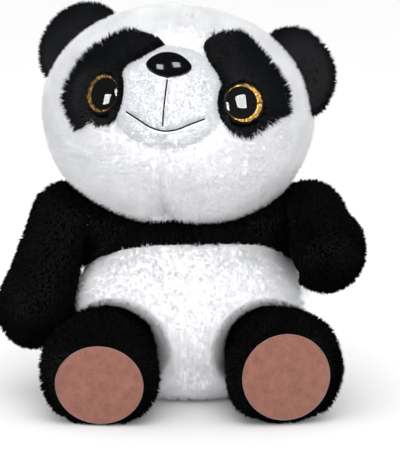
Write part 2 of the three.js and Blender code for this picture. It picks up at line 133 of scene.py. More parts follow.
class PandaHead(PropertyGroup):
    centre: point_mm("Centre", "Middle of the head", (-8.0, -2.0, 203.5))
    half: point_mm("Half size", "Half width, depth and height of the cover", (97, 76, 76))
    pitch: angle_deg("Pitch", "How far the face tips up", 20)
    yaw: angle_deg("Yaw", "How far the face turns to the toy's right", 6)
    roll: angle_deg("Roll", "How far the head leans to one side", 4)
    seam: length_mm("Ear seam", "Seam between face and back of head, forward of the middle", 12)
    muzzle: point_mm("Muzzle half size", "Half width, depth and height of the muzzle",
                     (40, 28, 35))
    muzzle_at: point_mm("Muzzle centre", "Middle of the muzzle in the head", (1, -64, -3))
    ear: point_mm("Ear half size", "Half width, thickness and height of an ear", (29.5, 5.5, 24))
    eye_radius: length_mm("Eye radius", "Radius of an eye", 15)
    nose: point_mm("Nose half size", "Half width, depth and height of the nose", (14.5, 8.5, 9.8))
    nose_at: point_mm("Nose centre", "Middle of the nose in the head", (1.8, -86.5, 15.5))


class PandaPile(PropertyGroup):
    amount: FloatProperty(name="Amount", description="Share of the full number of locks",
                          default=1.0, min=0.05, max=2.0)
    white_length: length_mm("White pile", "Length of the white pile", 4.2)
    black_length: length_mm("Black pile", "Length of the black pile", 7.5)
    long_length: length_mm("Long pile", "Length of the pile of ears and eye patches", 8.5)
    muzzle_length: length_mm("Muzzle pile", "Length of the clipped muzzle pile", 1.7)
    white: colour("White", "Tip colour of the white pile", (0.885, 0.89, 0.905))
    # The white root is darker than the tip: painted shade deep in the pile.
    white_root: colour("White root", "Root colour of the white pile", (0.81, 0.815, 0.83))
    # The muzzle pile is a darker copy of the white pile: painted shade that holds down the
    # front-lit muzzle, deeper still at the root.
    muzzle: colour("Muzzle", "Tip colour of the clipped muzzle pile", (0.7, 0.715, 0.745))
    muzzle_root: colour("Muzzle root", "Root colour of the clipped muzzle pile",
                        (0.6, 0.615, 0.65))
    black: colour("Black", "Root colour of the black pile", (0.0003, 0.00035, 0.0005))
    # The black tip is paler and bluish: painted sheen on the black locks.
    black_sheen_tip: colour("Black tip", "Tip colour of the black pile", (0.002, 0.0027, 0.0046))
    # The long tip is paler and bluish: painted sheen on the ear and eye-patch locks.
    long_sheen_tip: colour("Long tip", "Tip colour of the long black pile", (0.0075, 0.009, 0.0125))
    suede: colour("Sole", "Colour of the suede soles", (0.165, 0.064, 0.045))
    glitter: colour("Glitter", "Colour of the glitter in the eyes", (0.72, 0.43, 0.09))


class PandaStage(PropertyGroup):
    distance: FloatProperty(name="Camera distance", description="From the toy to the camera",
                            default=1.3, unit="LENGTH")
    elevation: angle_deg("Camera elevation", "Height of the camera above level", 12)
    lens: FloatProperty(name="Lens", description="Focal length, in millimetres", default=141.0)
    aim: FloatVectorProperty(name="Aim", description="Point at the middle of the view",
                             default=(0.00807, -0.0064, 0.1209), subtype="TRANSLATION")
    floor: colour("Floor", "Colour of the floor", (0.64, 0.64, 0.64))


def head_sizes():
    return bpy.context.scene.panda_head


def pile_sizes():
    return bpy.context.scene.panda_pile


# ---- Working in Blender ---------------------------------------------------------------
def pick(*objects):
    if bpy.context.mode != "OBJECT":
        bpy.ops.object.mode_set(mode="OBJECT")
    bpy.ops.object.select_all(action="DESELECT")
    for item in objects:
        item.select_set(True)
    if objects:
        bpy.context.view_layer.objects.active = objects[0]


def in_place(name, matrix):
    """Names the piece just drawn in metres and puts its place into its mesh."""
    made = bpy.context.active_object
    made.name = made.data.name = name
    placed = matrix.copy()
    placed.translation = matrix.translation * MM
    made.data.transform(placed @ made.matrix_world)
    made.matrix_world = Matrix.Identity(4)
    return made


def apply_modifier(piece, kind, **values):
    pick(piece)
    bpy.ops.object.modifier_add(type=kind)
    modifier = piece.modifiers[-1]
    for key, value in values.items():
        setattr(modifier, key, value)
    bpy.ops.object.modifier_apply(modifier=modifier.name)
    return piece


def points_mm(piece):
    flat = np.empty(len(piece.data.vertices) * 3)
    piece.data.vertices.foreach_get("co", flat)
    return flat.reshape(-1, 3) / MM


def normals_of(piece):
    flat = np.empty(len(piece.data.vertices) * 3)
    piece.data.vertices.foreach_get("normal", flat)
    return flat.reshape(-1, 3)


def move_points(piece, points):
    piece.data.vertices.foreach_set("co", (points * MM).ravel())
    piece.data.update()


def carried(matrix, points):
    """Points carried by a millimetre frame."""
    full = np.array(matrix)
    return points @ full[:3, :3].T + full[:3, 3]


def turned(matrix, ways):
    return ways @ np.array(matrix)[:3, :3].T


def head_matrix():
    head = head_sizes()
    return (Matrix.Translation(head.centre) @ Matrix.Rotation(-head.yaw, 4, "Z")
            @ Matrix.Rotation(-head.pitch, 4, "X") @ Matrix.Rotation(head.roll, 4, "Y"))


def basis(x, y, z, at):
    made = Matrix((x, y, z)).transposed().to_4x4()
    made.translation = Vector(at)
    return made


def frame_towards(at, out):
    """A frame whose Z axis runs along out, with X level."""
    z = Vector(out).normalized()
    x = Vector((0, 0, 1)).cross(z).normalized()
    return basis(x, z.cross(x), z, at)


def shoulder(side):
    """The flat face where an arm joins: Z out of the torso, along the swing axis."""
    tilt = math.radians(SHOULDER_TILT)
    out = Vector((side * math.cos(tilt), 0, math.sin(tilt)))
    fore = Vector((0, -1, 0))
    x, y, z = ARM_FLAT
    return basis(fore, out.cross(fore), out, (side * x, y, z))


def arm_matrix(name):
    side = SIDES[name]
    flat = shoulder(side)
    out, fore = flat.col[2].to_3d(), flat.col[0].to_3d()
    tilt, swing, cone = (math.radians(angle)
                         for angle in (SHOULDER_TILT, ARM_REST[name], ARM_SPREAD))
    up = Vector((-side * math.sin(tilt), 0, math.cos(tilt)))
    reach = ((fore * math.sin(swing) - up * math.cos(swing)) * math.cos(cone)
             + out * math.sin(cone))
    wide = (out - reach * out.dot(reach)).normalized()
    return basis(wide, reach.cross(wide), reach, flat.translation + out * 14)


def leg_matrix(name, more=0.0):
    side = SIDES[name]
    turn = math.radians(LEG_REST[name] + more)
    x, y, z = LEG_HIP
    return frame_towards((side * x, y, z), (side * math.sin(turn), -math.cos(turn), 0))


def eye_matrix(name):
    """The eye's frame: Z out of the face, from the seat of its plastic back."""
    side = SIDES[name]
    turn = math.radians(EYE_TURN[name])
    aside, z = EYE_AT[name]
    wide, tall = FACE_HALF
    y = -tall * math.sqrt(1 - (aside / wide) ** 2 - (z / tall) ** 2)
    seat = frame_towards((side * aside, y, z),
                         (side * math.sin(turn), -math.cos(turn), z / 100))
    return head_matrix() @ seat @ Matrix.Translation((0, 0, -2.1))


# ---- Soft forms -----------------------------------------------------------------------
def lathe(name, profile, matrix, sides=40, depth=1.0):
    """Draws a closed solid of revolution along Z by extruding and scaling a disc."""
    pick()
    (r, z), *rest = profile
    bpy.ops.mesh.primitive_circle_add(vertices=sides, radius=r * MM, fill_type="NGON",
                                      location=(0, 0, z * MM))
    bpy.ops.object.transform_apply(location=True)
    bpy.ops.object.mode_set(mode="EDIT")
    bpy.ops.mesh.select_all(action="SELECT")
    for next_r, next_z in rest:
        bpy.ops.mesh.extrude_region_move(
            TRANSFORM_OT_translate={"value": (0, 0, (next_z - z) * MM)})
        grow_by = next_r / r
        bpy.ops.transform.resize(value=(grow_by, grow_by, 1),
                                 center_override=(0, 0, next_z * MM))
        r, z = next_r, next_z
    bpy.ops.mesh.select_all(action="SELECT")
    bpy.ops.transform.resize(value=(1, depth, 1), center_override=(0, 0, 0))
    bpy.ops.mesh.normals_make_consistent(inside=False)
    bpy.ops.object.mode_set(mode="OBJECT")
    return in_place(name, matrix)


def egg(name, half, matrix, segments=48, rings=28):
    pick()
    bpy.ops.mesh.primitive_uv_sphere_add(segments=segments, ring_count=rings, radius=MM)
    bpy.ops.transform.resize(value=tuple(half))
    return in_place(name, matrix)


def rounded_start(radius, steps=4):
    """The half ball at the joint end of a limb."""
    turns = [math.radians(12 + 66 * i / (steps - 1)) for i in range(steps)]
    return [(radius * math.sin(t), -radius * math.cos(t)) for t in turns]


def eased(share):
    """A share from 0 to 1 that starts and ends gently."""
    return share * share * (3 - 2 * share)


def inset(profile, by):
    return [(r - by, z) for r, z in profile]


def cut_flat(piece, at, out):
    """Cuts away what lies behind a plane and closes the cut."""
    pick(piece)
    bpy.ops.object.mode_set(mode="EDIT")
    bpy.ops.mesh.select_all(action="SELECT")
    bpy.ops.mesh.bisect(plane_co=tuple(Vector(at) * MM), plane_no=tuple(out),
                        use_fill=True, clear_inner=True)
    bpy.ops.object.mode_set(mode="OBJECT")
    return piece


def carved(piece, *cutters):
    for cutter in cutters:
        apply_modifier(piece, "BOOLEAN", object=cutter, operation="DIFFERENCE", solver="EXACT")
        bpy.data.objects.remove(cutter)
    return piece


def fused(pieces, voxel=4.5, smooth=5):
    """Joins overlapping forms into one even skin and softens it."""
    pick(*pieces)
    if len(pieces) > 1:
        bpy.ops.object.join()
    skin = bpy.context.active_object
    skin.data.remesh_voxel_size = voxel * MM
    bpy.ops.object.voxel_remesh()
    return apply_modifier(skin, "SMOOTH", factor=0.5, iterations=smooth)


def stuffed(skin, cap):
    """Fills the cover: cloth under pressure, with each point's movement capped."""
    before = points_mm(skin)
    pick(skin)
    bpy.ops.object.modifier_add(type="CLOTH")
    cloth = skin.modifiers[-1]
    cloth.settings.quality = 4
    cloth.settings.use_pressure = True
    cloth.settings.uniform_pressure_force = FILL_PRESSURE
    cloth.settings.effector_weights.gravity = 0
    cloth.point_cache.frame_start = 1
    cloth.point_cache.frame_end = FILL_FRAMES
    for number in range(1, FILL_FRAMES + 1):
        bpy.context.scene.frame_set(number)
    bpy.ops.object.modifier_apply(modifier=cloth.name)
    bpy.context.scene.frame_set(1)
    step = points_mm(skin) - before
    size = np.linalg.norm(step, axis=1, keepdims=True)
    move_points(skin, before + step * np.minimum(1, cap / np.maximum(size, 1e-9)))
    apply_modifier(skin, "SUBSURF", levels=1, render_levels=1)
    pick(skin)
    bpy.ops.object.shade_smooth()
    return skin


def declare(skin, body, nodes):
    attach(skin, body)
    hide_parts(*nodes)
    return skin


def finish_with(piece, *materials):
    piece.data.materials.clear()
    for material in materials:
        piece.data.materials.append(material)


def two_tone(skin, first, second, is_second):
    """Gives the cover two cloths, chosen by the middle of each face."""
    finish_with(skin, first, second)
    middles = np.empty(len(skin.data.polygons) * 3)
    skin.data.polygons.foreach_get("center", middles)
    which = is_second(middles.reshape(-1, 3) / MM).astype(np.int32)
    skin.data.polygons.foreach_set("material_index", which)


# ---- Pile -----------------------------------------------------------------------------
def noise(points, scale, seed, parts=1):
    """Smooth random values from -1 to 1, the same for the same place and seed."""
    spot = points / scale
    cell = np.floor(spot).astype(np.int64)
    share = spot - cell
    share = eased(share)
    total = np.zeros((len(points), parts))
    for corner in range(8):
        step = np.array([(corner >> axis) & 1 for axis in range(3)])
        at = cell + step
        key = ((at[:, 0] * 73856093) ^ (at[:, 1] * 19349663) ^ (at[:, 2] * 83492791)
               ^ (seed * 40503 & 0xFFFFFF))
        weight = np.prod(np.where(step, share, 1 - share), axis=1)
        for part in range(parts):
            value = ((key + part * 374761393) * 668265263) & 0xFFFFFFFF
            value = ((value ^ (value >> 13)) * 1274126177) & 0xFFFFFFFF
            value = (value ^ (value >> 16)) & 0xFFFF
            total[:, part] += weight * (value / 32767.5 - 1)
    return total


def unit(ways):
    return ways / np.maximum(np.linalg.norm(ways, axis=1, keepdims=True), 1e-9)


def scatter(skin, count, region, rng):
    """Random places on a skin where region allows, with the skin's normals there."""
    mesh = skin.data
    mesh.calc_loop_triangles()
    corners = np.empty(len(mesh.loop_triangles) * 3, np.int32)
    mesh.loop_triangles.foreach_get("vertices", corners)
    corners = corners.reshape(-1, 3)
    points, normals = points_mm(skin), normals_of(skin)
    a, b, c = (points[corners[:, i]] for i in range(3))
    areas = np.linalg.norm(np.cross(b - a, c - a), axis=1) / 2
    near = np.zeros(len(areas), bool)
    for place in (a, b, c, (a + b + c) / 3):
        near |= region(place) > 0
    areas = areas * near
    if areas.sum() <= 0:
        raise RuntimeError(f"{skin.name}: no room for pile")
    chosen = rng.choice(len(areas), count, p=areas / areas.sum())
    u, v = rng.random(count), rng.random(count)
    over = u + v > 1
    u[over], v[over] = 1 - u[over], 1 - v[over]
    weights = np.stack([1 - u - v, u, v], axis=1)[:, :, None]
    where = (points[corners[chosen]] * weights).sum(1)
    facing = unit((normals[corners[chosen]] * weights).sum(1))
    kept = rng.random(count) < region(where)
    return where[kept], facing[kept]


# How the fibres gather: pull to a lock, fibres in a lock, and how far shading follows the body
BLACK_LOCKS = {"curved": True, "clump": 0.42, "lock": 10, "soft": 0.5}
LONG_LOCKS = {"curved": True, "clump": 0.5, "wild": 0.28, "soft": 0.5}


def grow(name, skin, body, material, slot, count, length, region, lean, seed, width=0.8,
         curved=False, clump=0.45, lock=14, wild=0.2, sweep=0.3, soft=0.7, nodes=()):
    """Covers part of a skin with pile: fine closed spikes gathered into locks."""
    rng = np.random.default_rng(seed)
    count = int(count * pile_sizes().amount)
    roots, facing = scatter(skin, count, region, rng)
    total = len(roots)
    way = facing + lean(roots, facing) + sweep * noise(roots, 16, seed, 3)
    way = way + rng.normal(0, wild, (total, 3))
    rise = (way * facing).sum(1, keepdims=True)
    way = unit(way + facing * np.maximum(0.25 - rise, 0))
    long = (length(roots) if callable(length) else np.full(total, float(length)))
    long = (long * rng.uniform(0.72, 1.12, total))[:, None]
    tips = roots + way * long
    leaders = rng.choice(total, max(1, total // lock), replace=False)
    tree = KDTree(len(leaders))
    for i, leader in enumerate(leaders):
        tree.insert(roots[leader], i)
    tree.balance()
    own = leaders[[tree.find(place)[1] for place in roots]]
    pull = clump * rng.uniform(0.5, 1.0, (total, 1))
    tips = tips + (roots[own] + way[own] * long - tips) * pull
    heights = [-0.5, 0.55] if curved else [-0.5]
    side = unit(np.cross(way, rng.normal(size=(total, 3))))
    across = np.cross(unit(way), side)
    rings, tones = [], []
    for step, height in enumerate(heights):
        middle = roots - facing * 0.5 if step == 0 else (
            roots + (tips - roots) * height + facing * long * 0.13)
        radius = width / 2 * (1, 0.75)[step] * rng.uniform(0.8, 1.2, (total, 1))
        for turn in (0, 2.0944, 4.1888):
            rings.append(middle + (side * math.cos(turn) + across * math.sin(turn)) * radius)
    per = len(rings) + 1
    verts = np.stack(rings + [tips], axis=1).reshape(-1, 3)
    base = np.arange(total)[:, None, None] * per
    if curved:
        pattern = [(0, 1, 4), (0, 4, 3), (1, 2, 5), (1, 5, 4), (2, 0, 3), (2, 3, 5),
                   (3, 4, 6), (4, 5, 6), (5, 3, 6), (2, 1, 0)]
    else:
        pattern = [(0, 1, 3), (1, 2, 3), (2, 0, 3), (2, 1, 0)]
    faces = (base + np.array(pattern)).reshape(-1, 3)
    mesh = bpy.data.meshes.new(name)
    mesh.vertices.add(len(verts))
    mesh.vertices.foreach_set("co", (verts * MM).ravel())
    mesh.loops.add(faces.size)
    mesh.loops.foreach_set("vertex_index", faces.ravel().astype(np.int32))
    mesh.polygons.add(len(faces))
    mesh.polygons.foreach_set("loop_start", np.arange(0, faces.size, 3, dtype=np.int32))
    mesh.polygons.foreach_set("use_smooth", np.ones(len(faces), bool))
    mesh.update(calc_edges=True)
    # The map: each lock has one shade, and a fibre runs from root to tip.
    shade = 0.5 + 0.28 * noise(roots, 9, seed + 1)[:, 0] + 0.16 * noise(
        roots[own], 1.5, seed + 2)[:, 0] + rng.normal(0, 0.1, total)
    shade = np.clip(shade, 0.02, 0.97)
    level = ([0.02] * 3 + [0.55] * 3 if curved else [0.02] * 3) + [0.98]
    nudge = [0, 0.004, 0.008] * len(heights) + [0.004]
    uv = np.stack([np.add.outer(shade, nudge), np.tile(level, (total, 1))], axis=2)
    uv = uv.reshape(-1, 2)[faces.ravel()]
    layer = mesh.uv_layers.new(name=PILE_MAP)
    layer.data.foreach_set("uv", uv.ravel())
    # Shading follows the body under the pile more than each fibre's own sides.
    axis = np.stack([roots] * 3 + ([roots + (tips - roots) * 0.55] * 3 if curved else [])
                    + [roots], axis=1).reshape(-1, 3)
    body_normal = np.repeat(facing, per, axis=0)
    outward = unit(verts - axis)
    blend = unit(body_normal * soft + outward * (1 - soft))
    mesh.normals_split_custom_set_from_vertices(blend)
    mesh.materials.append(material)
    piece = bpy.data.objects.new(name, mesh)
    bpy.context.scene.collection.objects.link(piece)
    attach(piece, body)
    if nodes:
        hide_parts(*nodes)
    return piece


def inside_outline(outline, x, z):
    """Whether points lie inside a closed outline."""
    result = np.zeros(len(x), bool)
    for (x0, z0), (x1, z1) in zip(outline, outline[1:] + outline[:1]):
        crosses = (z0 > z) != (z1 > z)
        with np.errstate(divide="ignore", invalid="ignore"):
            at = x0 + (z - z0) * (x1 - x0) / ((z1 - z0) or 1e-9)
        result ^= crosses & (x < at)
    return result


def smooth_outline(corners, steps=4, closed=True):
    """A smooth line through its corners."""
    n = len(corners)
    made = []
    for i in range(n if closed else n - 1):
        p = [np.array(corners[(i + k) % n if closed else min(max(i + k, 0), n - 1)], float)
             for k in (-1, 0, 1, 2)]
        for step in range(steps):
            t = step / steps
            made.append(tuple(0.5 * (2 * p[1] + (p[2] - p[0]) * t
                              + (2 * p[0] - 5 * p[1] + 4 * p[2] - p[3]) * t * t
                              + (3 * p[1] - p[0] - 3 * p[2] + p[3]) * t ** 3)))
    return made if closed else made + [tuple(corners[-1])]


def distance_to_line(line, x, z):
    """Distance from points to a drawn line."""
    best = np.full(len(x), 1e9)
    for (x0, z0), (x1, z1) in zip(line, line[1:]):
        dx, dz = x1 - x0, z1 - z0
        t = np.clip(((x - x0) * dx + (z - z0) * dz) / (dx * dx + dz * dz), 0, 1)
        best = np.minimum(best, np.hypot(x - x0 - t * dx, z - z0 - t * dz))
    return best


# ---- Materials ------------------------------------------------------------------------
def new_group(name, inputs, outputs):
    """A node group with named sockets, made once."""
    tree = bpy.data.node_groups.new(name, "ShaderNodeTree")
    for label, kind, value in inputs:
        socket = tree.interface.new_socket(label, in_out="INPUT", socket_type=kind)
        socket.default_value = value
    for label, kind in outputs:
        tree.interface.new_socket(label, in_out="OUTPUT", socket_type=kind)
    return tree, tree.nodes.new("NodeGroupInput"), tree.nodes.new("NodeGroupOutput")


def math_node(tree, operation, first, second=None):
    node = tree.nodes.new("ShaderNodeMath")
    node.operation = operation
    for socket, value in zip(node.inputs, (first, second)):
        if value is None:
            continue
        if isinstance(value, (int, float)):
            socket.default_value = value
        else:
            tree.links.new(value, socket)
    return node.outputs[0]


def mix_colour(tree, factor, first, second):
    node = tree.nodes.new("ShaderNodeMix")
    node.data_type = "RGBA"
    tree.links.new(factor, node.inputs["Factor"])
    for socket, value in ((node.inputs[6], first), (node.inputs[7], second)):
        if isinstance(value, tuple):
            socket.default_value = value
        else:
            tree.links.new(value, socket)
    return node.outputs[2]


def scaled_colour(tree, tint, level):
    node = tree.nodes.new("ShaderNodeVectorMath")
    node.operation = "SCALE"
    tree.links.new(tint, node.inputs[0])
    tree.links.new(level, node.inputs["Scale"])
    return node.outputs[0]


def texture(tree, kind, place, scale, **values):
    node = tree.nodes.new(kind)
    tree.links.new(place, node.inputs["Vector"])
    node.inputs["Scale"].default_value = scale
    for key, value in values.items():
        node.inputs[key].default_value = value
    return node


def pile_group():
    """Shade of a fibre from root to tip, with paler and darker locks: the darker root is painted
    shade deep in the pile, and a paler tip is painted sheen.
    """
    if "Pile shade" in bpy.data.node_groups:
        return bpy.data.node_groups["Pile shade"]
    tree, entry, leave = new_group(
        "Pile shade",
        [("Root", "NodeSocketColor", (0, 0, 0, 1)), ("Tip", "NodeSocketColor", (1, 1, 1, 1)),
         ("Variation", "NodeSocketFloat", 0.3), ("Rise", "NodeSocketFloat", 0.6)],
        [("Color", "NodeSocketColor")])
    place = tree.nodes.new("ShaderNodeUVMap")
    place.uv_map = PILE_MAP
    split = tree.nodes.new("ShaderNodeSeparateXYZ")
    tree.links.new(place.outputs[0], split.inputs[0])
    rise = math_node(tree, "POWER", split.outputs["Y"], entry.outputs["Rise"])
    shade = mix_colour(tree, rise, entry.outputs["Root"], entry.outputs["Tip"])
    darker = math_node(tree, "MULTIPLY", math_node(tree, "SUBTRACT", 1.0, split.outputs["X"]),
                       entry.outputs["Variation"])
    level = math_node(tree, "SUBTRACT", 1.0, darker)
    tree.links.new(scaled_colour(tree, shade, level), leave.inputs["Color"])
    return tree


def cloth_group():
    """Colour and relief of cloth or grain: broad blotches over a fine tooth."""
    if "Cloth grain" in bpy.data.node_groups:
        return bpy.data.node_groups["Cloth grain"]
    tree, entry, leave = new_group(
        "Cloth grain",
        [("Color", "NodeSocketColor", (1, 1, 1, 1)), ("Variation", "NodeSocketFloat", 0.2),
         ("Blotch Scale", "NodeSocketFloat", 60.0), ("Tooth Scale", "NodeSocketFloat", 1500.0)],
        [("Color", "NodeSocketColor"), ("Height", "NodeSocketFloat")])
    place = tree.nodes.new("ShaderNodeTexCoord").outputs["Object"]
    blotch = texture(tree, "ShaderNodeTexNoise", place, 1, Detail=4, Roughness=0.65)
    tooth = texture(tree, "ShaderNodeTexNoise", place, 1, Detail=2)
    tree.links.new(entry.outputs["Blotch Scale"], blotch.inputs["Scale"])
    tree.links.new(entry.outputs["Tooth Scale"], tooth.inputs["Scale"])
    both = math_node(tree, "ADD", math_node(tree, "MULTIPLY", blotch.outputs["Fac"], 1.2),
                     math_node(tree, "MULTIPLY", tooth.outputs["Fac"], 0.8))
    change = math_node(tree, "MULTIPLY", math_node(tree, "SUBTRACT", both, 1.0),
                       entry.outputs["Variation"])
    level = math_node(tree, "ADD", 1.0, math_node(tree, "MULTIPLY", change, 2.0))
    tree.links.new(scaled_colour(tree, entry.outputs["Color"], level), leave.inputs["Color"])
    tree.links.new(both, leave.inputs["Height"])
    return tree


def glitter_group():
    """Flakes of many tones, each catching the light in its own way."""
    if "Glitter" in bpy.data.node_groups:
        return bpy.data.node_groups["Glitter"]
    tree, entry, leave = new_group(
        "Glitter",
        [("Color", "NodeSocketColor", (0.8, 0.5, 0.1, 1)),
         ("Dark", "NodeSocketColor", (0.05, 0.024, 0.006, 1)),
         ("Flake Scale", "NodeSocketFloat", 1150.0)],
        [("Color", "NodeSocketColor"), ("Height", "NodeSocketFloat"),
         ("Roughness", "NodeSocketFloat")])
    place = tree.nodes.new("ShaderNodeTexCoord").outputs["Object"]
    flakes = texture(tree, "ShaderNodeTexVoronoi", place, 1)
    tree.links.new(entry.outputs["Flake Scale"], flakes.inputs["Scale"])
    parts = tree.nodes.new("ShaderNodeSeparateColor")
    tree.links.new(flakes.outputs["Color"], parts.inputs[0])
    bright = math_node(tree, "POWER", parts.outputs[0], 2.4)
    tone = mix_colour(tree, bright, entry.outputs["Dark"], entry.outputs["Color"])
    tree.links.new(tone, leave.inputs["Color"])
    tree.links.new(math_node(tree, "MULTIPLY", parts.outputs[1], 1.0), leave.inputs["Height"])
    rough = math_node(tree, "ADD", math_node(tree, "MULTIPLY", parts.outputs[2], 0.3), 0.35)
    tree.links.new(rough, leave.inputs["Roughness"])
    return tree


def opaque(tint):
    return (*tint, 1.0)


def new_material(name, group=None, bump=0.0, bump_distance=0.0002, **constants):
    """A Principled material; a group's colour, roughness and relief feed it if given."""
    if name in bpy.data.materials:
        return bpy.data.materials[name]
    material = bpy.data.materials.new(name)
    material.use_nodes = True
    tree = material.node_tree
    shader = tree.nodes["Principled BSDF"]
    for key, value in constants.items():
        shader.inputs[key.replace("_", " ")].default_value = value
    if group:
        kind, values = group
        node = tree.nodes.new("ShaderNodeGroup")
        node.node_tree = kind
        for key, value in values.items():
            node.inputs[key].default_value = value
        tree.links.new(node.outputs["Color"], shader.inputs["Base Color"])
        if "Roughness" in node.outputs:
            tree.links.new(node.outputs["Roughness"], shader.inputs["Roughness"])
        if bump and "Height" in node.outputs:
            relief = tree.nodes.new("ShaderNodeBump")
            relief.inputs["Strength"].default_value = bump
            relief.inputs["Distance"].default_value = bump_distance
            tree.links.new(node.outputs["Height"], relief.inputs["Height"])
            tree.links.new(relief.outputs["Normal"], shader.inputs["Normal"])
    return material


def pile_material(name, root, tip, variation, rise, sheen, rough=0.85, specular=0.3):
    return new_material(
        name, (pile_group(), {"Root": opaque(root), "Tip": opaque(tip),
                              "Variation": variation, "Rise": rise}),
        Roughness=rough, Sheen_Weight=sheen, Sheen_Roughness=0.45,
        Specular_IOR_Level=specular)


def cloth_material(name, tint, variation=0.15, blotch=60.0, tooth=1500.0, bump=0.4, **more):
    values = {"Roughness": 0.95, "Specular_IOR_Level": 0.2, **more}
    return new_material(
        name, (cloth_group(), {"Color": opaque(tint), "Variation": variation,
                               "Blotch Scale": blotch, "Tooth Scale": tooth}),
        bump=bump, **values)


def plastic(name, tint, blotch, **finish):
    """Moulded black plastic, nearly even in tone."""
    return new_material(name, (cloth_group(), {
        "Color": opaque(tint), "Variation": 0.1, "Blotch Scale": blotch,
        "Tooth Scale": 2500.0}), **finish)


def white_pile():
    pile = pile_sizes()
    # Darker towards the root: painted shade deep in the white pile.
    return pile_material("White pile", pile.white_root, pile.white, 0.2, 0.6, 0.1, rough=1.0,
                         specular=0.05)


def muzzle_pile():
    pile = pile_sizes()
    # A darker copy of the white pile: painted shade on the front-lit muzzle, deeper still at the
    # root.
    return pile_material("Muzzle pile", pile.muzzle_root, pile.muzzle, 0.08, 0.5, 0.1,
                         rough=1.0, specular=0.05)


def black_pile():
    pile = pile_sizes()
    # Painted sheen: the tips turn paler and bluish over the near-black root.
    return pile_material("Black pile", pile.black, pile.black_sheen_tip, 0.85, 2.0, 0.0, rough=0.6,
                         specular=0.04)


def long_pile():
    pile = pile_sizes()
    # Painted sheen: the long pile's tips turn paler and bluish over the black root.
    return pile_material("Long black pile", pile.black, pile.long_sheen_tip, 0.6, 1.5, 0.0,
                         rough=0.55, specular=0.08)


def white_cloth():
    return cloth_material("White backing", pile_sizes().white_root)


def black_cloth():
    return cloth_material("Black backing", pile_sizes().black, Specular_IOR_Level=0.02)


def dress(node, material):
    """Gives a piece of the frame its finish, with round sides shaded smooth."""
    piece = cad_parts[node]
    finish_with(piece, material)
    pick(piece)
    bpy.ops.object.shade_smooth_by_angle(angle=math.radians(35))


# ---- Head -----------------------------------------------------------------------------
def no_lean(points, normals):
    return np.zeros_like(points)


def patch_masks():
    return {name: smooth_outline(outline) for name, outline in EYE_PATCH.items()}


def eye_distance(points):
    """Distance of points from the nearer eye's axis."""
    best = np.full(len(points), 1e9)
    for name in SIDES:
        own = carried(eye_matrix(name).inverted(), points)
        away = np.hypot(own[:, 0], own[:, 1])
        closer = (away < best) & (np.abs(own[:, 2]) < 40)
        best[closer] = away[closer]
    return best


def shape_face(skin):
    """Works the sockets, the mouth's pinch, the grooves and the chin seam into the face."""
    to_head = head_matrix().inverted()
    points, normals = points_mm(skin), normals_of(skin)
    local = carried(to_head, points)
    x, y, z = local.T
    front = y < -5
    dent = np.zeros(len(points))
    mouth = distance_to_line(smooth_outline(MOUTH, closed=False), x, z)
    lip = distance_to_line(PHILTRUM, x, z)
    dent += 1.6 * np.exp(-(mouth / 2.6) ** 2) + 1.0 * np.exp(-(lip / 2.2) ** 2)
    pinch = np.hypot(x + 0.5, (z + 36) * 1.1)
    turn = np.arctan2(z + 36, x + 0.5)
    dent += 4.5 * np.exp(-(pinch / 5.5) ** 2)
    dent += 0.7 * np.cos(7 * turn + 0.6) * np.exp(-((pinch - 9) / 5.5) ** 2)
    below = np.clip((-36 - z) / 10, 0, 1)
    dent += 2.4 * below * np.exp(-(x / 3.2) ** 2)
    dent += 5.0 * np.clip((-58 - z) / 16, 0, 1) * np.exp(-(x / 10) ** 2)
    above = np.clip((z - 34) / 10, 0, 1)
    dent += 0.7 * above * np.exp(-(x / 2.4) ** 2)
    full = np.clip((-18 - z) / 38, 0, 1)
    fuller = 3.6 * eased(full)
    moved = points + normals * (fuller - dent * front)[:, None]
    for name in SIDES:
        eye = eye_matrix(name)
        own = carried(eye.inverted(), moved)
        away = np.hypot(own[:, 0], own[:, 1])
        share = eased(1 - np.clip((away - 16.5) / 7, 0, 1)) * (np.abs(own[:, 2]) < 30)
        target = np.minimum(own[:, 2], -0.8)
        own[:, 2] += (target - own[:, 2]) * share
        moved = carried(eye, own)
    move_points(skin, moved)


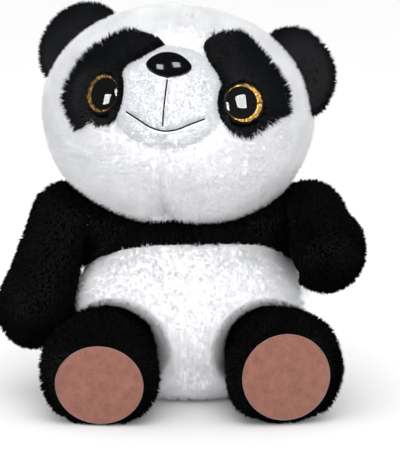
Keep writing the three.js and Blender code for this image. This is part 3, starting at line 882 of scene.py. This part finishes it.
def make_head():
    head, pile = head_sizes(), pile_sizes()
    to_world = head_matrix()
    to_head = to_world.inverted()
    skull = egg("head_cover", head.half, to_world)
    muzzle = egg("muzzle_form", head.muzzle,
                 to_world @ Matrix.Translation(head.muzzle_at))
    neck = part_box("neck_cover")
    neck_at = (Vector(neck[0]) + Vector(neck[1])) / 2 / MM
    socket = egg("neck_socket", (31.5, 31.5, 31.5), Matrix.Translation(neck_at))
    skin = fused([carved(skull, socket), muzzle], voxel=4.0, smooth=5)
    skin.name = "head_cover"
    stuffed(skin, cap=1.0)
    shape_face(skin)
    masks = patch_masks()

    def in_patch(points, name):
        local = carried(to_head, points)
        x, z = local[:, 0], local[:, 2]
        edge = distance_to_line(masks[name] + masks[name][:1], x, z)
        eye = carried(eye_matrix(name).inverted(), points)
        round_eye = (eye[:, 2] > -20) & (
            np.hypot(eye[:, 0], eye[:, 1]) < head.eye_radius + EYE_RING)
        within = inside_outline(masks[name], x, z) & (edge > PATCH_MARGIN)
        return (within | round_eye) & (local[:, 1] < -head.seam)

    def any_patch(points):
        return in_patch(points, "left") | in_patch(points, "right")

    def clear_of_eyes(points):
        return eye_distance(points) > head.eye_radius + 0.3

    def on_muzzle(points):
        local = carried(to_head, points) - np.array(head.muzzle_at)
        a, b, c = head.muzzle
        return ((local[:, 0] / (a + 1)) ** 2 + (local[:, 2] / (c + 1)) ** 2 < 1) & (
            local[:, 1] < 4)

    def clear_of_threads(points):
        local = carried(to_head, points)
        x, z = local[:, 0], local[:, 2]
        away = np.minimum(distance_to_line(smooth_outline(MOUTH, closed=False), x, z),
                          distance_to_line(PHILTRUM, x, z))
        nose = np.hypot(x / head.nose[0], (z - head.nose_at[2]) / head.nose[2])
        return (away > 0.8) & (nose > 0.9)

    def at_front(points):
        return carried(to_head, points)[:, 1] < -head.seam

    def clear_of_neck(points):
        return np.linalg.norm(points - np.array(neck_at), axis=1) > 33.5

    two_tone(skin, white_cloth(), black_cloth(), any_patch)
    declare(skin, "head", ["head_stuffing", "face_left_panel", "face_right_panel",
                           "head_back_left_panel", "head_back_right_panel",
                           "muzzle_stuffing"])

    def combed(points, normals):
        """The face is combed out from the muzzle and down."""
        local = carried(to_head, points) - np.array((0, 0, 8))
        local[:, 1] = 0
        return turned(to_world, unit(local)) * 0.3

    muzzle_length = pile.muzzle_length
    reach = np.array(head.muzzle_at)

    def face_length(points):
        local = carried(to_head, points) - reach
        away = np.hypot(local[:, 0] / head.muzzle[0], local[:, 2] / head.muzzle[2])
        share = np.clip((away - 1.0) / 0.5, 0, 1)
        behind = local[:, 1] > 30
        share = np.where(behind, 1, share)
        return muzzle_length + (pile.white_length - muzzle_length) * share

    grow("face_pile", skin, "head", white_pile(), "white_fur", 47000, face_length,
         lambda p: (at_front(p) & ~any_patch(p) & ~on_muzzle(p) & clear_of_eyes(p)
                    & clear_of_neck(p)),
         combed, 11, width=0.7, wild=0.28, clump=0.25, lock=14, soft=0.84)
    grow("muzzle_pile", skin, "head", muzzle_pile(), "white_fur", 17000, muzzle_length,
         lambda p: (at_front(p) & ~any_patch(p) & on_muzzle(p) & clear_of_eyes(p)
                    & clear_of_threads(p)),
         combed, 12, width=0.75, wild=0.14, clump=0.25, soft=0.95, nodes=["muzzle_cover"])
    grow("head_back_pile", skin, "head", white_pile(), "white_fur", 34000, pile.white_length,
         lambda p: ~at_front(p) & clear_of_neck(p),
         combed, 13, width=0.9, wild=0.28, clump=0.25, lock=14, soft=0.84)
    for name, side in SIDES.items():
        eye_at = np.array(eye_matrix(name).translation)

        def outward(points, normals):
            away = unit(points - eye_at)
            away -= normals * (away * normals).sum(1, keepdims=True)
            own = carried(eye_matrix(name).inverted(), points)
            inner = np.clip(-side * own[:, 0] / 14, 0, 1)[:, None]
            return unit(away) * (1.05 - 1.5 * inner)

        def patch_length(points):
            share = np.clip((eye_distance(points) - head.eye_radius) / 7, 0, 1)
            return pile.long_length * (0.62 + 0.38 * share)

        grow(f"eye_patch_{name}_pile", skin, "head", long_pile(), "black_fur", 7600,
             patch_length,
             lambda p: in_patch(p, name) & clear_of_eyes(p),
             outward, 14 + side, width=0.75, lock=10, nodes=[f"eye_patch_{name}"],
             **LONG_LOCKS)


def make_ears():
    head, pile = head_sizes(), pile_sizes()
    for name, side in SIDES.items():
        angle, reach = math.radians(EAR_SEATS[name][0]), EAR_SEATS[name][1]
        seat = (head_matrix() @ Matrix.Translation((side * reach * math.cos(angle), -head.seam,
                                                    reach * math.sin(angle)))
                @ Matrix.Rotation(side * (math.pi / 2 - angle), 4, "Y"))
        skin = fused([egg(f"ear_{name}_cover", head.ear, seat, 32, 18)], voxel=3.0, smooth=2)
        stuffed(skin, cap=0.7)
        to_head, to_ear = head_matrix().inverted(), seat.inverted()
        # The front of the ear is slightly hollow.
        points, normals = points_mm(skin), normals_of(skin)
        own = carried(to_ear, points)
        hollow = 3.0 * np.exp(-((own[:, 0] / 17) ** 2 + ((own[:, 2] - 2) / 14) ** 2))
        own[:, 1] += hollow * (own[:, 1] < 0) + hollow * 0.35 * (own[:, 1] >= 0)
        move_points(skin, carried(seat, own))
        finish_with(skin, black_cloth())
        declare(skin, "head", [f"ear_{name}_front", f"ear_{name}_back"])
        a, b, c = head.half

        def outside_head(points):
            local = carried(to_head, points)
            return (local[:, 0] / a) ** 2 + (local[:, 1] / b) ** 2 + (local[:, 2] / c) ** 2 > 1

        def radial(points, normals):
            own = carried(to_ear, points) + np.array((0, 0, 16))
            own[:, 1] = 0
            return turned(seat, unit(own)) * 1.25

        grow(f"ear_{name}_pile", skin, "head", long_pile(), "black_fur", 11000,
             pile.long_length * 0.92, outside_head, radial, 21 + side, width=0.8, lock=11,
             **LONG_LOCKS)


# ---- Torso, neck and tail ---------------------------------------------------------------
def in_belly(points):
    """White cloth: the belly's arch at the front and all below the yoke at the back."""
    x0, z0, wide, rise = BELLY
    arch = (np.abs((points[:, 0] - x0) / wide) ** 2.5
            + np.abs((points[:, 2] - z0) / rise) ** 2.5) < 1
    low = points[:, 2] < z0
    return np.where(points[:, 1] < 12, arch | low, points[:, 2] < YOKE_BACK)


def downward(points, normals):
    way = np.zeros_like(points)
    way[:, 2] = -0.4
    return way


def leg_room(name):
    """The room a leg needs in the torso to turn inward."""
    wider = [(r + 1.5 + t * 0.1, t) for r, t in LEG_PROFILE[1:]]
    start = [(r * 1.1, z * 1.1) for r, z in rounded_start(29)]
    return lathe(f"leg_room_{name}", start + wider + [(36, 110)], leg_matrix(name, -6),
                 sides=32)


def make_torso():
    pile = pile_sizes()
    profile = [(r - CLOTH, max(z, CLOTH)) for r, z in TORSO_PROFILE]
    body = lathe("torso_cover", profile, Matrix.Identity(4), depth=TORSO_DEPTH)
    stubs = [lathe(f"shoulder_{name}", [(21, -30), (22, -18), (20.5, -0.8)], shoulder(side),
                   sides=24) for name, side in SIDES.items()]
    half, (x, y, z) = SHOULDER_ROUND
    stubs += [egg(f"shoulder_round_{name}", half, Matrix.Translation((side * x, y, z)), 32, 18)
              for name, side in SIDES.items()]
    half, at = BELLY_ROUND
    belly = egg("belly_round", half, Matrix.Translation(at))
    body = fused([body, belly], voxel=4.0, smooth=6)
    body = carved(body, leg_room("left"), leg_room("right"))
    skin = fused([body] + stubs, voxel=4.0, smooth=4)
    skin.name = "torso_cover"
    stuffed(skin, cap=1.0)
    points, normals = points_mm(skin), normals_of(skin)
    x, y, z = points.T
    seam = 1.3 * np.exp(-(x / 2.4) ** 2) * (z > 8) * in_belly(points)
    points = points - normals * seam[:, None]
    points[:, 2] = np.maximum(points[:, 2], 0.4)
    move_points(skin, points)
    two_tone(skin, black_cloth(), white_cloth(), in_belly)
    declare(skin, "torso", ["torso_stuffing", "seat_panel"])
    neck_lo, neck_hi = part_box("neck_cover")
    neck_at = (neck_lo + neck_hi) / 2 / MM

    def shown(points):
        """Away from the hip sockets, the neck and the shoulder faces."""
        fine = np.linalg.norm(points - np.array(neck_at), axis=1) > 31
        for name, side in SIDES.items():
            own = carried(leg_matrix(name, -6).inverted(), points)
            fine &= ~((np.hypot(own[:, 0], own[:, 1]) < 29 + np.clip(own[:, 2], 0, 60) * 0.1)
                      & (own[:, 2] > -20))
            joint = carried(shoulder(side).inverted(), points)
            fine &= joint[:, 2] < -1.5
        return fine & (points[:, 2] > 2.0)

    def belly_length(points):
        near = np.clip(np.abs(points[:, 0]) / 2.0, 0, 1)
        return pile.white_length * (0.55 + 0.45 * near)

    grow("belly_pile", skin, "torso", white_pile(), "white_fur", 30000, belly_length,
         lambda p: shown(p) & in_belly(p) & (p[:, 1] < 0),
         downward, 31, width=0.75, wild=0.28, clump=0.2, lock=14, soft=0.9,
         nodes=["belly_left_panel", "belly_right_panel"])
    grow("lower_back_pile", skin, "torso", white_pile(), "white_fur", 14000,
         pile.white_length,
         lambda p: shown(p) & in_belly(p) & (p[:, 1] >= 0),
         downward, 32, width=1.0, wild=0.26, clump=0.2, lock=14, soft=0.9,
         nodes=["lower_back_left_panel", "lower_back_right_panel"])
    def yoke_length(points):
        """The pile is longer by the shoulders, where it closes the join."""
        side_on = np.clip((np.abs(points[:, 0]) - 50) / 18, 0, 1) * (points[:, 2] < 112)
        return pile.black_length * (1 + 0.4 * side_on)

    grow("yoke_pile", skin, "torso", black_pile(), "black_fur", 15500, yoke_length,
         lambda p: shown(p) & ~in_belly(p),
         downward, 33, width=0.9, nodes=["chest_yoke", "back_yoke"], **BLACK_LOCKS)


def make_neck_and_tail():
    pile = pile_sizes()
    lo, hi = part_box("neck_cover")
    middle = (lo + hi) / 2 / MM
    half = (hi - lo) / 2 / MM
    ring = [(half.x * share, half.z * level)
            for share, level in ((0.72, -1), (0.93, -0.5), (1, 0), (0.93, 0.5), (0.72, 1))]
    neck = fused([lathe("neck_band", inset(ring, CLOTH), Matrix.Translation(middle), sides=32)],
                 4.0, 2)
    stuffed(neck, cap=0.3)
    finish_with(neck, black_cloth())
    declare(neck, "neck", ["neck_cover", "neck_stuffing"])

    tail = fused([egg("tail_ball", (TAIL_RADIUS,) * 3, Matrix.Translation(TAIL_AT), 24, 14)],
                 2.8, 1)
    stuffed(tail, cap=0.5)
    finish_with(tail, white_cloth())
    declare(tail, "torso", ["tail_stuffing"])
    grow("tail_pile", tail, "torso", white_pile(), "white_fur", 2600, pile.white_length + 0.8,
         lambda p: np.hypot(p[:, 0], (p[:, 1]) / TORSO_DEPTH) > 76,
         no_lean, 34, width=1.1, clump=0.35, nodes=["tail_cover"])


# ---- Arms and legs ----------------------------------------------------------------------
def make_arms():
    pile = pile_sizes()
    for name, side in SIDES.items():
        matrix, flat = arm_matrix(name), shoulder(side)
        profile = rounded_start(ARM_ROOT) + inset(ARM_PROFILE, CLOTH) + [(4.5, 90.8)]
        form = lathe(f"arm_{name}_cover", profile, matrix, sides=36)
        cut_flat(form, flat.translation + flat.col[2].to_3d() * 0.8, flat.col[2].to_3d())
        skin = fused([form], voxel=4.0, smooth=2)
        stuffed(skin, cap=1.0)
        to_arm, to_joint = matrix.inverted(), flat.inverted()
        points = points_mm(skin)
        bend = np.clip(carried(to_arm, points)[:, 2:3] / 90, 0, 1.2) ** 0.8
        move_points(skin, points + bend * np.array(ARM_BEND[name]))
        finish_with(skin, black_cloth())
        declare(skin, f"arm_{name}", [f"arm_{name}_stuffing"])

        def shown(points):
            joint = carried(to_joint, points)
            return joint[:, 2] > 1.8

        def along(points, normals):
            own = carried(to_arm, points)
            way = np.zeros_like(own)
            way[:, 2] = 0.75
            way[:, :2] = -own[:, :2] * np.clip((own[:, 2:3] - 60) / 30, 0, 1) * 0.02
            return turned(matrix, way)

        grow(f"arm_{name}_pile", skin, f"arm_{name}", black_pile(), "black_fur", 19000,
             pile.black_length, shown, along, 41 + side, width=1.0,
             nodes=[f"arm_{name}_outer_panel", f"arm_{name}_inner_panel"], **BLACK_LOCKS)


def make_legs():
    pile = pile_sizes()
    suede = cloth_material("Sole suede", pile.suede, variation=0.4, blotch=130.0, tooth=1100.0,
                           bump=0.6, Sheen_Weight=0.35, Sheen_Roughness=0.5)
    for name, side in SIDES.items():
        matrix = leg_matrix(name)
        profile = (rounded_start(LEG_ROOT) + inset(LEG_PROFILE[:-1], CLOTH)
                   + [(32.5, 81.5), (27, 82.5)])
        skin = fused([lathe(f"leg_{name}_cover", profile, matrix, sides=40)], 4.0, 2)
        stuffed(skin, cap=1.0)
        to_leg = matrix.inverted()
        aside, drop = SOLE_SHIFT[name]
        own = carried(to_leg, points_mm(skin))
        # The filling lies low at the sole, and the upper inner side is leaner.
        turn = np.arctan2(own[:, 1], -side * own[:, 0])
        lean_at, lean_by = THIGH_LEAN[name]
        lean_side = np.clip(np.cos(turn - lean_at), 0, 1) ** 1.3
        lean_side *= np.clip((own[:, 2] - 12) / 36, 0, 1)
        own[:, :2] *= (1 - lean_by * lean_side)[:, None]
        near_sole = eased(np.clip((own[:, 2] - 45) / 35, 0, 1))
        own[:, 0] += aside * 0.3 * near_sole
        own[:, 1] += drop * 0.75 * near_sole
        points = carried(matrix, own)
        points[:, 2] = np.maximum(points[:, 2], 0.6)
        move_points(skin, points)
        finish_with(skin, black_cloth())
        declare(skin, f"leg_{name}", [f"leg_{name}_stuffing"])
        tall = SOLE_HEIGHT[name]

        def shown(points):
            own = carried(to_leg, points)
            sole = (own[:, 2] > SOLE_FROM) & (
                np.hypot(own[:, 0] - aside, (own[:, 1] - drop) / tall) < SOLE_EDGE)
            return ~sole & (points[:, 2] > 1.2)

        def leg_length(points):
            """Short where the leg rests on the floor and round the sole."""
            own = carried(to_leg, points)
            low = np.clip(points[:, 2] / 12, 0.35, 1)
            rim = 1 - 0.35 * np.clip((own[:, 2] - 76) / 5, 0, 1)
            return pile.black_length * low * rim

        def towards_sole(points, normals):
            own = carried(to_leg, points)
            way = np.zeros_like(own)
            way[:, 2] = 0.6
            away = unit(np.stack([own[:, 0], own[:, 1], np.zeros(len(own))], axis=1))
            rim = np.clip((own[:, 2:3] - 76) / 5, 0, 1)
            way = way * (1 - rim) + away * rim * 0.9
            return turned(matrix, way)

        grow(f"leg_{name}_pile", skin, f"leg_{name}", black_pile(), "black_fur", 19500,
             leg_length, shown, towards_sole, 51 + side, width=1.0,
             nodes=[f"leg_{name}_outer_panel", f"leg_{name}_inner_panel"], **BLACK_LOCKS)

        dome = [(29.5, 79.5), (30.6, 81.0), (30.9, 82.6), (30.4, 83.8), (28.5, 84.7),
                (24, 85.5), (17, 86.1), (9, 86.4), (3, 86.5)]
        sole = lathe(f"leg_{name}_sole_pad", dome, matrix, sides=64)
        own = carried(to_leg, points_mm(sole))
        own[:, 1] = own[:, 1] * tall + drop
        own[:, 0] += aside
        wave = noise(own, 14, 61 + side)[:, 0]
        own[:, 2] += 0.35 * wave * (own[:, 2] > 83)
        move_points(sole, carried(matrix, own))
        pick(sole)
        bpy.ops.object.shade_smooth()
        finish_with(sole, suede)
        declare(sole, f"leg_{name}", [f"leg_{name}_sole"])


# ---- Eyes, nose, stitching and label ------------------------------------------------------
def clear_material(name):
    """Clear plastic: a mirror-like skin over what lies behind, stronger at grazing angles."""
    if name in bpy.data.materials:
        return bpy.data.materials[name]
    material = new_material(name, Base_Color=(1, 1, 1, 1), Metallic=1.0, Roughness=0.03)
    tree = material.node_tree
    shader, leave = tree.nodes["Principled BSDF"], tree.nodes["Material Output"]
    fresnel = tree.nodes.new("ShaderNodeFresnel")
    fresnel.inputs["IOR"].default_value = 1.5
    side = tree.nodes.new("ShaderNodeNewGeometry")
    facing = math_node(tree, "SUBTRACT", 1.0, side.outputs["Backfacing"])
    share = math_node(tree, "MULTIPLY", math_node(tree, "MINIMUM", fresnel.outputs[0], 0.09),
                      facing)
    through = tree.nodes.new("ShaderNodeBsdfTransparent")
    both = tree.nodes.new("ShaderNodeMixShader")
    tree.links.new(share, both.inputs[0])
    tree.links.new(through.outputs[0], both.inputs[1])
    tree.links.new(shader.outputs[0], both.inputs[2])
    tree.links.new(both.outputs[0], leave.inputs["Surface"])
    return material


def make_eyes():
    head, pile = head_sizes(), pile_sizes()
    black = plastic("Moulded black", (0.0025, 0.0025, 0.003), 300.0, Roughness=0.6,
                    Specular_IOR_Level=0.02)
    pupil = plastic("Pupil black", (0.0015, 0.0015, 0.002), 300.0, Roughness=0.6,
                    Specular_IOR_Level=0.02)
    glitter = new_material("Gold glitter", (glitter_group(), {
        "Color": opaque(pile.glitter)}), bump=1.0, bump_distance=0.0004, Metallic=0.85)
    for name, side in SIDES.items():
        dress(f"eye_{name}_back", black)
        dress(f"eye_{name}_iris", glitter)
        # The pupil lies towards the nose, so that glitter shows as a crescent outside it.
        disc = lathe(f"eye_{name}_pupil_disc", [(11.0, 3.55), (11.4, 3.7), (11.4, 3.95),
                                                (11.0, 4.1)], eye_matrix(name), sides=96)
        own = carried(eye_matrix(name).inverted(), points_mm(disc))
        own[:, :2] += np.array((-side * 2.0, -0.3))
        away = np.linalg.norm(own[:, :2], axis=1, keepdims=True)
        own[:, :2] *= np.minimum(1, (LENS_POCKET - 0.25) / np.maximum(away, 1e-6))
        move_points(disc, carried(eye_matrix(name), own))
        finish_with(disc, pupil)
        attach(disc, "head")
        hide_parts(f"eye_{name}_pupil")
        # The lens: a smooth dome with a flat pocket behind for the iris and pupil.
        r = head.eye_radius
        steps = 12
        dome = [(r * math.cos(math.pi / 2 * i / steps),
                 LENS_FOOT + LENS_RISE * math.sin(math.pi / 2 * i / steps))
                for i in range(steps)]
        profile = [(LENS_POCKET, 4.3), (LENS_POCKET, 2.6), (r - 0.3, LENS_FOOT),
                   *dome[1:], (0.4, 9.14)]
        lens = lathe(f"eye_{name}_dome", [(1.0, 4.3)] + profile, eye_matrix(name), sides=72)
        pick(lens)
        bpy.ops.object.shade_smooth_by_angle(angle=math.radians(40))
        finish_with(lens, clear_material("Clear lens"))
        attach(lens, "head")
        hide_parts(f"eye_{name}_lens")


def make_nose():
    head = head_sizes()
    a, b, c = head.nose
    seat = head_matrix() @ Matrix.Translation(head.nose_at)
    nose = egg("nose_cap", head.nose, seat, 64, 40)
    own = carried(seat.inverted(), points_mm(nose))
    across = np.clip(np.abs(own[:, 0]) / a, 0, 1)
    own[:, 2] *= 1 - 0.1 * across ** 2.5
    own[:, 2] *= np.where(own[:, 2] < 0, 1.06, 0.98)
    own[:, 0] *= 1 + 0.09 * across ** 6
    # A rim runs round the nose where it meets the pile.
    own[:, 1] = np.where(own[:, 1] > 1.5, 1.5 + (own[:, 1] - 1.5) * 0.6, own[:, 1])
    move_points(nose, carried(seat, own))
    pick(nose)
    bpy.ops.object.shade_smooth()
    finish_with(nose, plastic("Nose plastic", (0.0015, 0.0015, 0.002), 200.0, Roughness=0.12,
                              Specular_IOR_Level=0.3))
    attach(nose, "head")
    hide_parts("nose")


def make_stitching():
    thread = cloth_material("Black thread", (0.004, 0.004, 0.0045), variation=0.4,
                            blotch=900.0, tooth=3000.0, bump=0.5, Roughness=0.7)
    for node in ("philtrum_thread", "mouth_thread"):
        dress(node, thread)


def make_label():
    lo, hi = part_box("care_label")
    middle, size = (lo + hi) / 2, hi - lo
    satin = cloth_material("Label satin", (0.85, 0.85, 0.84), variation=0.05, blotch=200.0,
                           tooth=4000.0, bump=0.3, Roughness=0.45)
    pick()
    bpy.ops.mesh.primitive_grid_add(x_subdivisions=10, y_subdivisions=14, size=1)
    label = bpy.context.active_object
    label.name = label.data.name = "care_label_cloth"
    points = points_mm(label) * MM
    along, up = points[:, 0] * size.x, points[:, 1] * size.z
    bow = 0.0009 * np.sin(along / size.x * math.pi * 1.5)
    placed = np.stack([middle.x + along, middle.y + bow, middle.z + up], axis=1)
    move_points(label, placed / MM)
    apply_modifier(label, "SOLIDIFY", thickness=0.0005, offset=0)
    pick(label)
    bpy.ops.object.shade_smooth_by_angle(angle=math.radians(40))
    label.data.materials.append(satin)
    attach(label, "torso")
    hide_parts("care_label")


def make_inside():
    """The hidden lock washers and the pellet bag."""
    plastic = cloth_material("Washer plastic", (0.7, 0.7, 0.67), variation=0.05,
                             blotch=200.0, tooth=2500.0, bump=0.1, Roughness=0.45)
    bag = cloth_material("Pellet bag", (0.62, 0.6, 0.55), variation=0.2, tooth=2500.0)
    for node in ("nose_washer", "eye_left_washer", "eye_right_washer"):
        dress(node, plastic)
    dress("pellet_bag", bag)


# ---- Stage ------------------------------------------------------------------------------
def soft_box(name, turn, rise, away, size, power, aim, tint=(1, 1, 1)):
    """A soft box at an angle round the toy: 0 is in front, positive is to its left."""
    pick()
    around, up = math.radians(turn), math.radians(rise)
    aim = Vector(aim)
    spot = aim + away * Vector((math.sin(around) * math.cos(up),
                                -math.cos(around) * math.cos(up), math.sin(up)))
    bpy.ops.object.light_add(type="AREA", location=spot)
    light = bpy.context.active_object
    light.name = light.data.name = name
    light.data.shape = "RECTANGLE"
    light.data.size, light.data.size_y = size
    light.data.energy = power
    light.data.color = tint
    light.rotation_euler = (aim - spot).to_track_quat("-Z", "Y").to_euler()
    return light


def make_stage():
    stage = bpy.context.scene.panda_stage
    pick()
    bpy.ops.mesh.primitive_plane_add(size=8, location=(0, 0, 0))
    floor = bpy.context.active_object
    floor.name = floor.data.name = "stage_floor"
    paper = new_material("Floor paper", Roughness=1.0, Specular_IOR_Level=0.0)
    shader = paper.node_tree.nodes["Principled BSDF"]
    seen_by = paper.node_tree.nodes.new("ShaderNodeLightPath")
    hidden = mix_colour(paper.node_tree, seen_by.outputs["Is Glossy Ray"],
                        (0.95, 0.95, 0.95, 1), (0.05, 0.05, 0.05, 1))
    shade = mix_colour(paper.node_tree, seen_by.outputs["Is Camera Ray"], hidden,
                       opaque(stage.floor))
    paper.node_tree.links.new(shade, shader.inputs["Base Color"])
    floor.data.materials.append(paper)
    aim = Vector(stage.aim)
    back = Vector((0, -math.cos(stage.elevation), math.sin(stage.elevation)))
    bpy.ops.object.camera_add(location=aim + back * stage.distance)
    camera = bpy.context.active_object
    camera.rotation_euler = (-back).to_track_quat("-Z", "Y").to_euler()
    camera.data.lens = stage.lens
    camera.data.clip_start = 0.05
    bpy.context.scene.camera = camera
    middle = (0, -0.02, 0.14)
    for box in (soft_box("left_box", -40, 4, 1.4, (0.6, 0.9), 34, middle),
                soft_box("right_box", 19, 27, 1.35, (0.6, 0.75), 27, middle)):
        box.visible_diffuse = False
    for box in (soft_box("top_box", 0, 66, 1.6, (1.4, 1.4), 12, middle),
                soft_box("front_box", 4, 0, 1.6, (1.2, 1.0), 12, middle)):
        box.visible_glossy = False
    world = bpy.data.worlds.new("Studio")
    bpy.context.scene.world = world
    world.use_nodes = True
    tree = world.node_tree
    background = tree.nodes["Background"]
    path = tree.nodes.new("ShaderNodeLightPath")
    shone = mix_colour(tree, path.outputs["Is Glossy Ray"], (1.5, 1.5, 1.51, 1),
                       (0.08, 0.08, 0.085, 1))
    seen = mix_colour(tree, path.outputs["Is Camera Ray"], shone, (1.0, 1.0, 1.0, 1))
    tree.links.new(seen, background.inputs["Color"])
    bpy.context.scene.view_settings.view_transform = "Standard"


# ---- Add-on -----------------------------------------------------------------------------
class PANDA_OT_stage(Operator):
    """Make the floor, the lights and the camera"""
    bl_idname = "panda.stage"
    bl_label = "Stage"
    bl_options = {"REGISTER", "UNDO"}

    def execute(self, context):
        make_stage()
        return {"FINISHED"}


class PANDA_OT_head(Operator):
    """Make the head and muzzle cover with its pile"""
    bl_idname = "panda.head"
    bl_label = "Head"
    bl_options = {"REGISTER", "UNDO"}

    def execute(self, context):
        make_head()
        return {"FINISHED"}


class PANDA_OT_ears(Operator):
    """Make both ears with their long pile"""
    bl_idname = "panda.ears"
    bl_label = "Ears"
    bl_options = {"REGISTER", "UNDO"}

    def execute(self, context):
        make_ears()
        return {"FINISHED"}


class PANDA_OT_eyes(Operator):
    """Make both pupils and domed lenses, and finish the eyes"""
    bl_idname = "panda.eyes"
    bl_label = "Eyes"
    bl_options = {"REGISTER", "UNDO"}

    def execute(self, context):
        make_eyes()
        return {"FINISHED"}


class PANDA_OT_nose(Operator):
    """Make the oval plastic nose"""
    bl_idname = "panda.nose"
    bl_label = "Nose"
    bl_options = {"REGISTER", "UNDO"}

    def execute(self, context):
        make_nose()
        return {"FINISHED"}


class PANDA_OT_stitching(Operator):
    """Finish the thread of the mouth"""
    bl_idname = "panda.stitching"
    bl_label = "Stitching"
    bl_options = {"REGISTER", "UNDO"}

    def execute(self, context):
        make_stitching()
        return {"FINISHED"}


class PANDA_OT_torso(Operator):
    """Make the torso cover with belly and yoke pile"""
    bl_idname = "panda.torso"
    bl_label = "Torso"
    bl_options = {"REGISTER", "UNDO"}

    def execute(self, context):
        make_torso()
        return {"FINISHED"}


class PANDA_OT_neck_and_tail(Operator):
    """Make the neck band and the tail"""
    bl_idname = "panda.neck_and_tail"
    bl_label = "Neck and tail"
    bl_options = {"REGISTER", "UNDO"}

    def execute(self, context):
        make_neck_and_tail()
        return {"FINISHED"}


class PANDA_OT_arms(Operator):
    """Make both arms with their pile"""
    bl_idname = "panda.arms"
    bl_label = "Arms"
    bl_options = {"REGISTER", "UNDO"}

    def execute(self, context):
        make_arms()
        return {"FINISHED"}


class PANDA_OT_legs(Operator):
    """Make both legs with their pile and suede soles"""
    bl_idname = "panda.legs"
    bl_label = "Legs"
    bl_options = {"REGISTER", "UNDO"}

    def execute(self, context):
        make_legs()
        return {"FINISHED"}


class PANDA_OT_label(Operator):
    """Make the blank satin label"""
    bl_idname = "panda.label"
    bl_label = "Label"
    bl_options = {"REGISTER", "UNDO"}

    def execute(self, context):
        make_label()
        return {"FINISHED"}


class PANDA_OT_inside(Operator):
    """Finish the washers and the pellet bag"""
    bl_idname = "panda.inside"
    bl_label = "Inside"
    bl_options = {"REGISTER", "UNDO"}

    def execute(self, context):
        make_inside()
        return {"FINISHED"}


# In the order that they run
MAKERS = [
    PANDA_OT_stage, PANDA_OT_head, PANDA_OT_ears, PANDA_OT_eyes, PANDA_OT_nose,
    PANDA_OT_stitching, PANDA_OT_torso, PANDA_OT_neck_and_tail, PANDA_OT_arms, PANDA_OT_legs,
    PANDA_OT_label, PANDA_OT_inside,
]


class PANDA_PT_panel(Panel):
    """Lists the panda's makers in the 3D view's sidebar"""
    bl_label = "Plush panda"
    bl_idname = "PANDA_PT_panel"
    bl_space_type = "VIEW_3D"
    bl_region_type = "UI"
    bl_category = "Panda"

    def draw(self, context):
        for kind in MAKERS:
            self.layout.operator(kind.bl_idname)


CLASSES = [PandaHead, PandaPile, PandaStage, *MAKERS, PANDA_PT_panel]


def register():
    for kind in CLASSES:
        bpy.utils.register_class(kind)
    bpy.types.Scene.panda_head = PointerProperty(type=PandaHead)
    bpy.types.Scene.panda_pile = PointerProperty(type=PandaPile)
    bpy.types.Scene.panda_stage = PointerProperty(type=PandaStage)


def unregister():
    del bpy.types.Scene.panda_head, bpy.types.Scene.panda_pile, bpy.types.Scene.panda_stage
    for kind in reversed(CLASSES):
        bpy.utils.unregister_class(kind)


def main():
    register()
    for kind in MAKERS:
        group, name = kind.bl_idname.split(".")
        getattr(getattr(bpy.ops, group), name)()


if __name__ == "__main__":
    main()
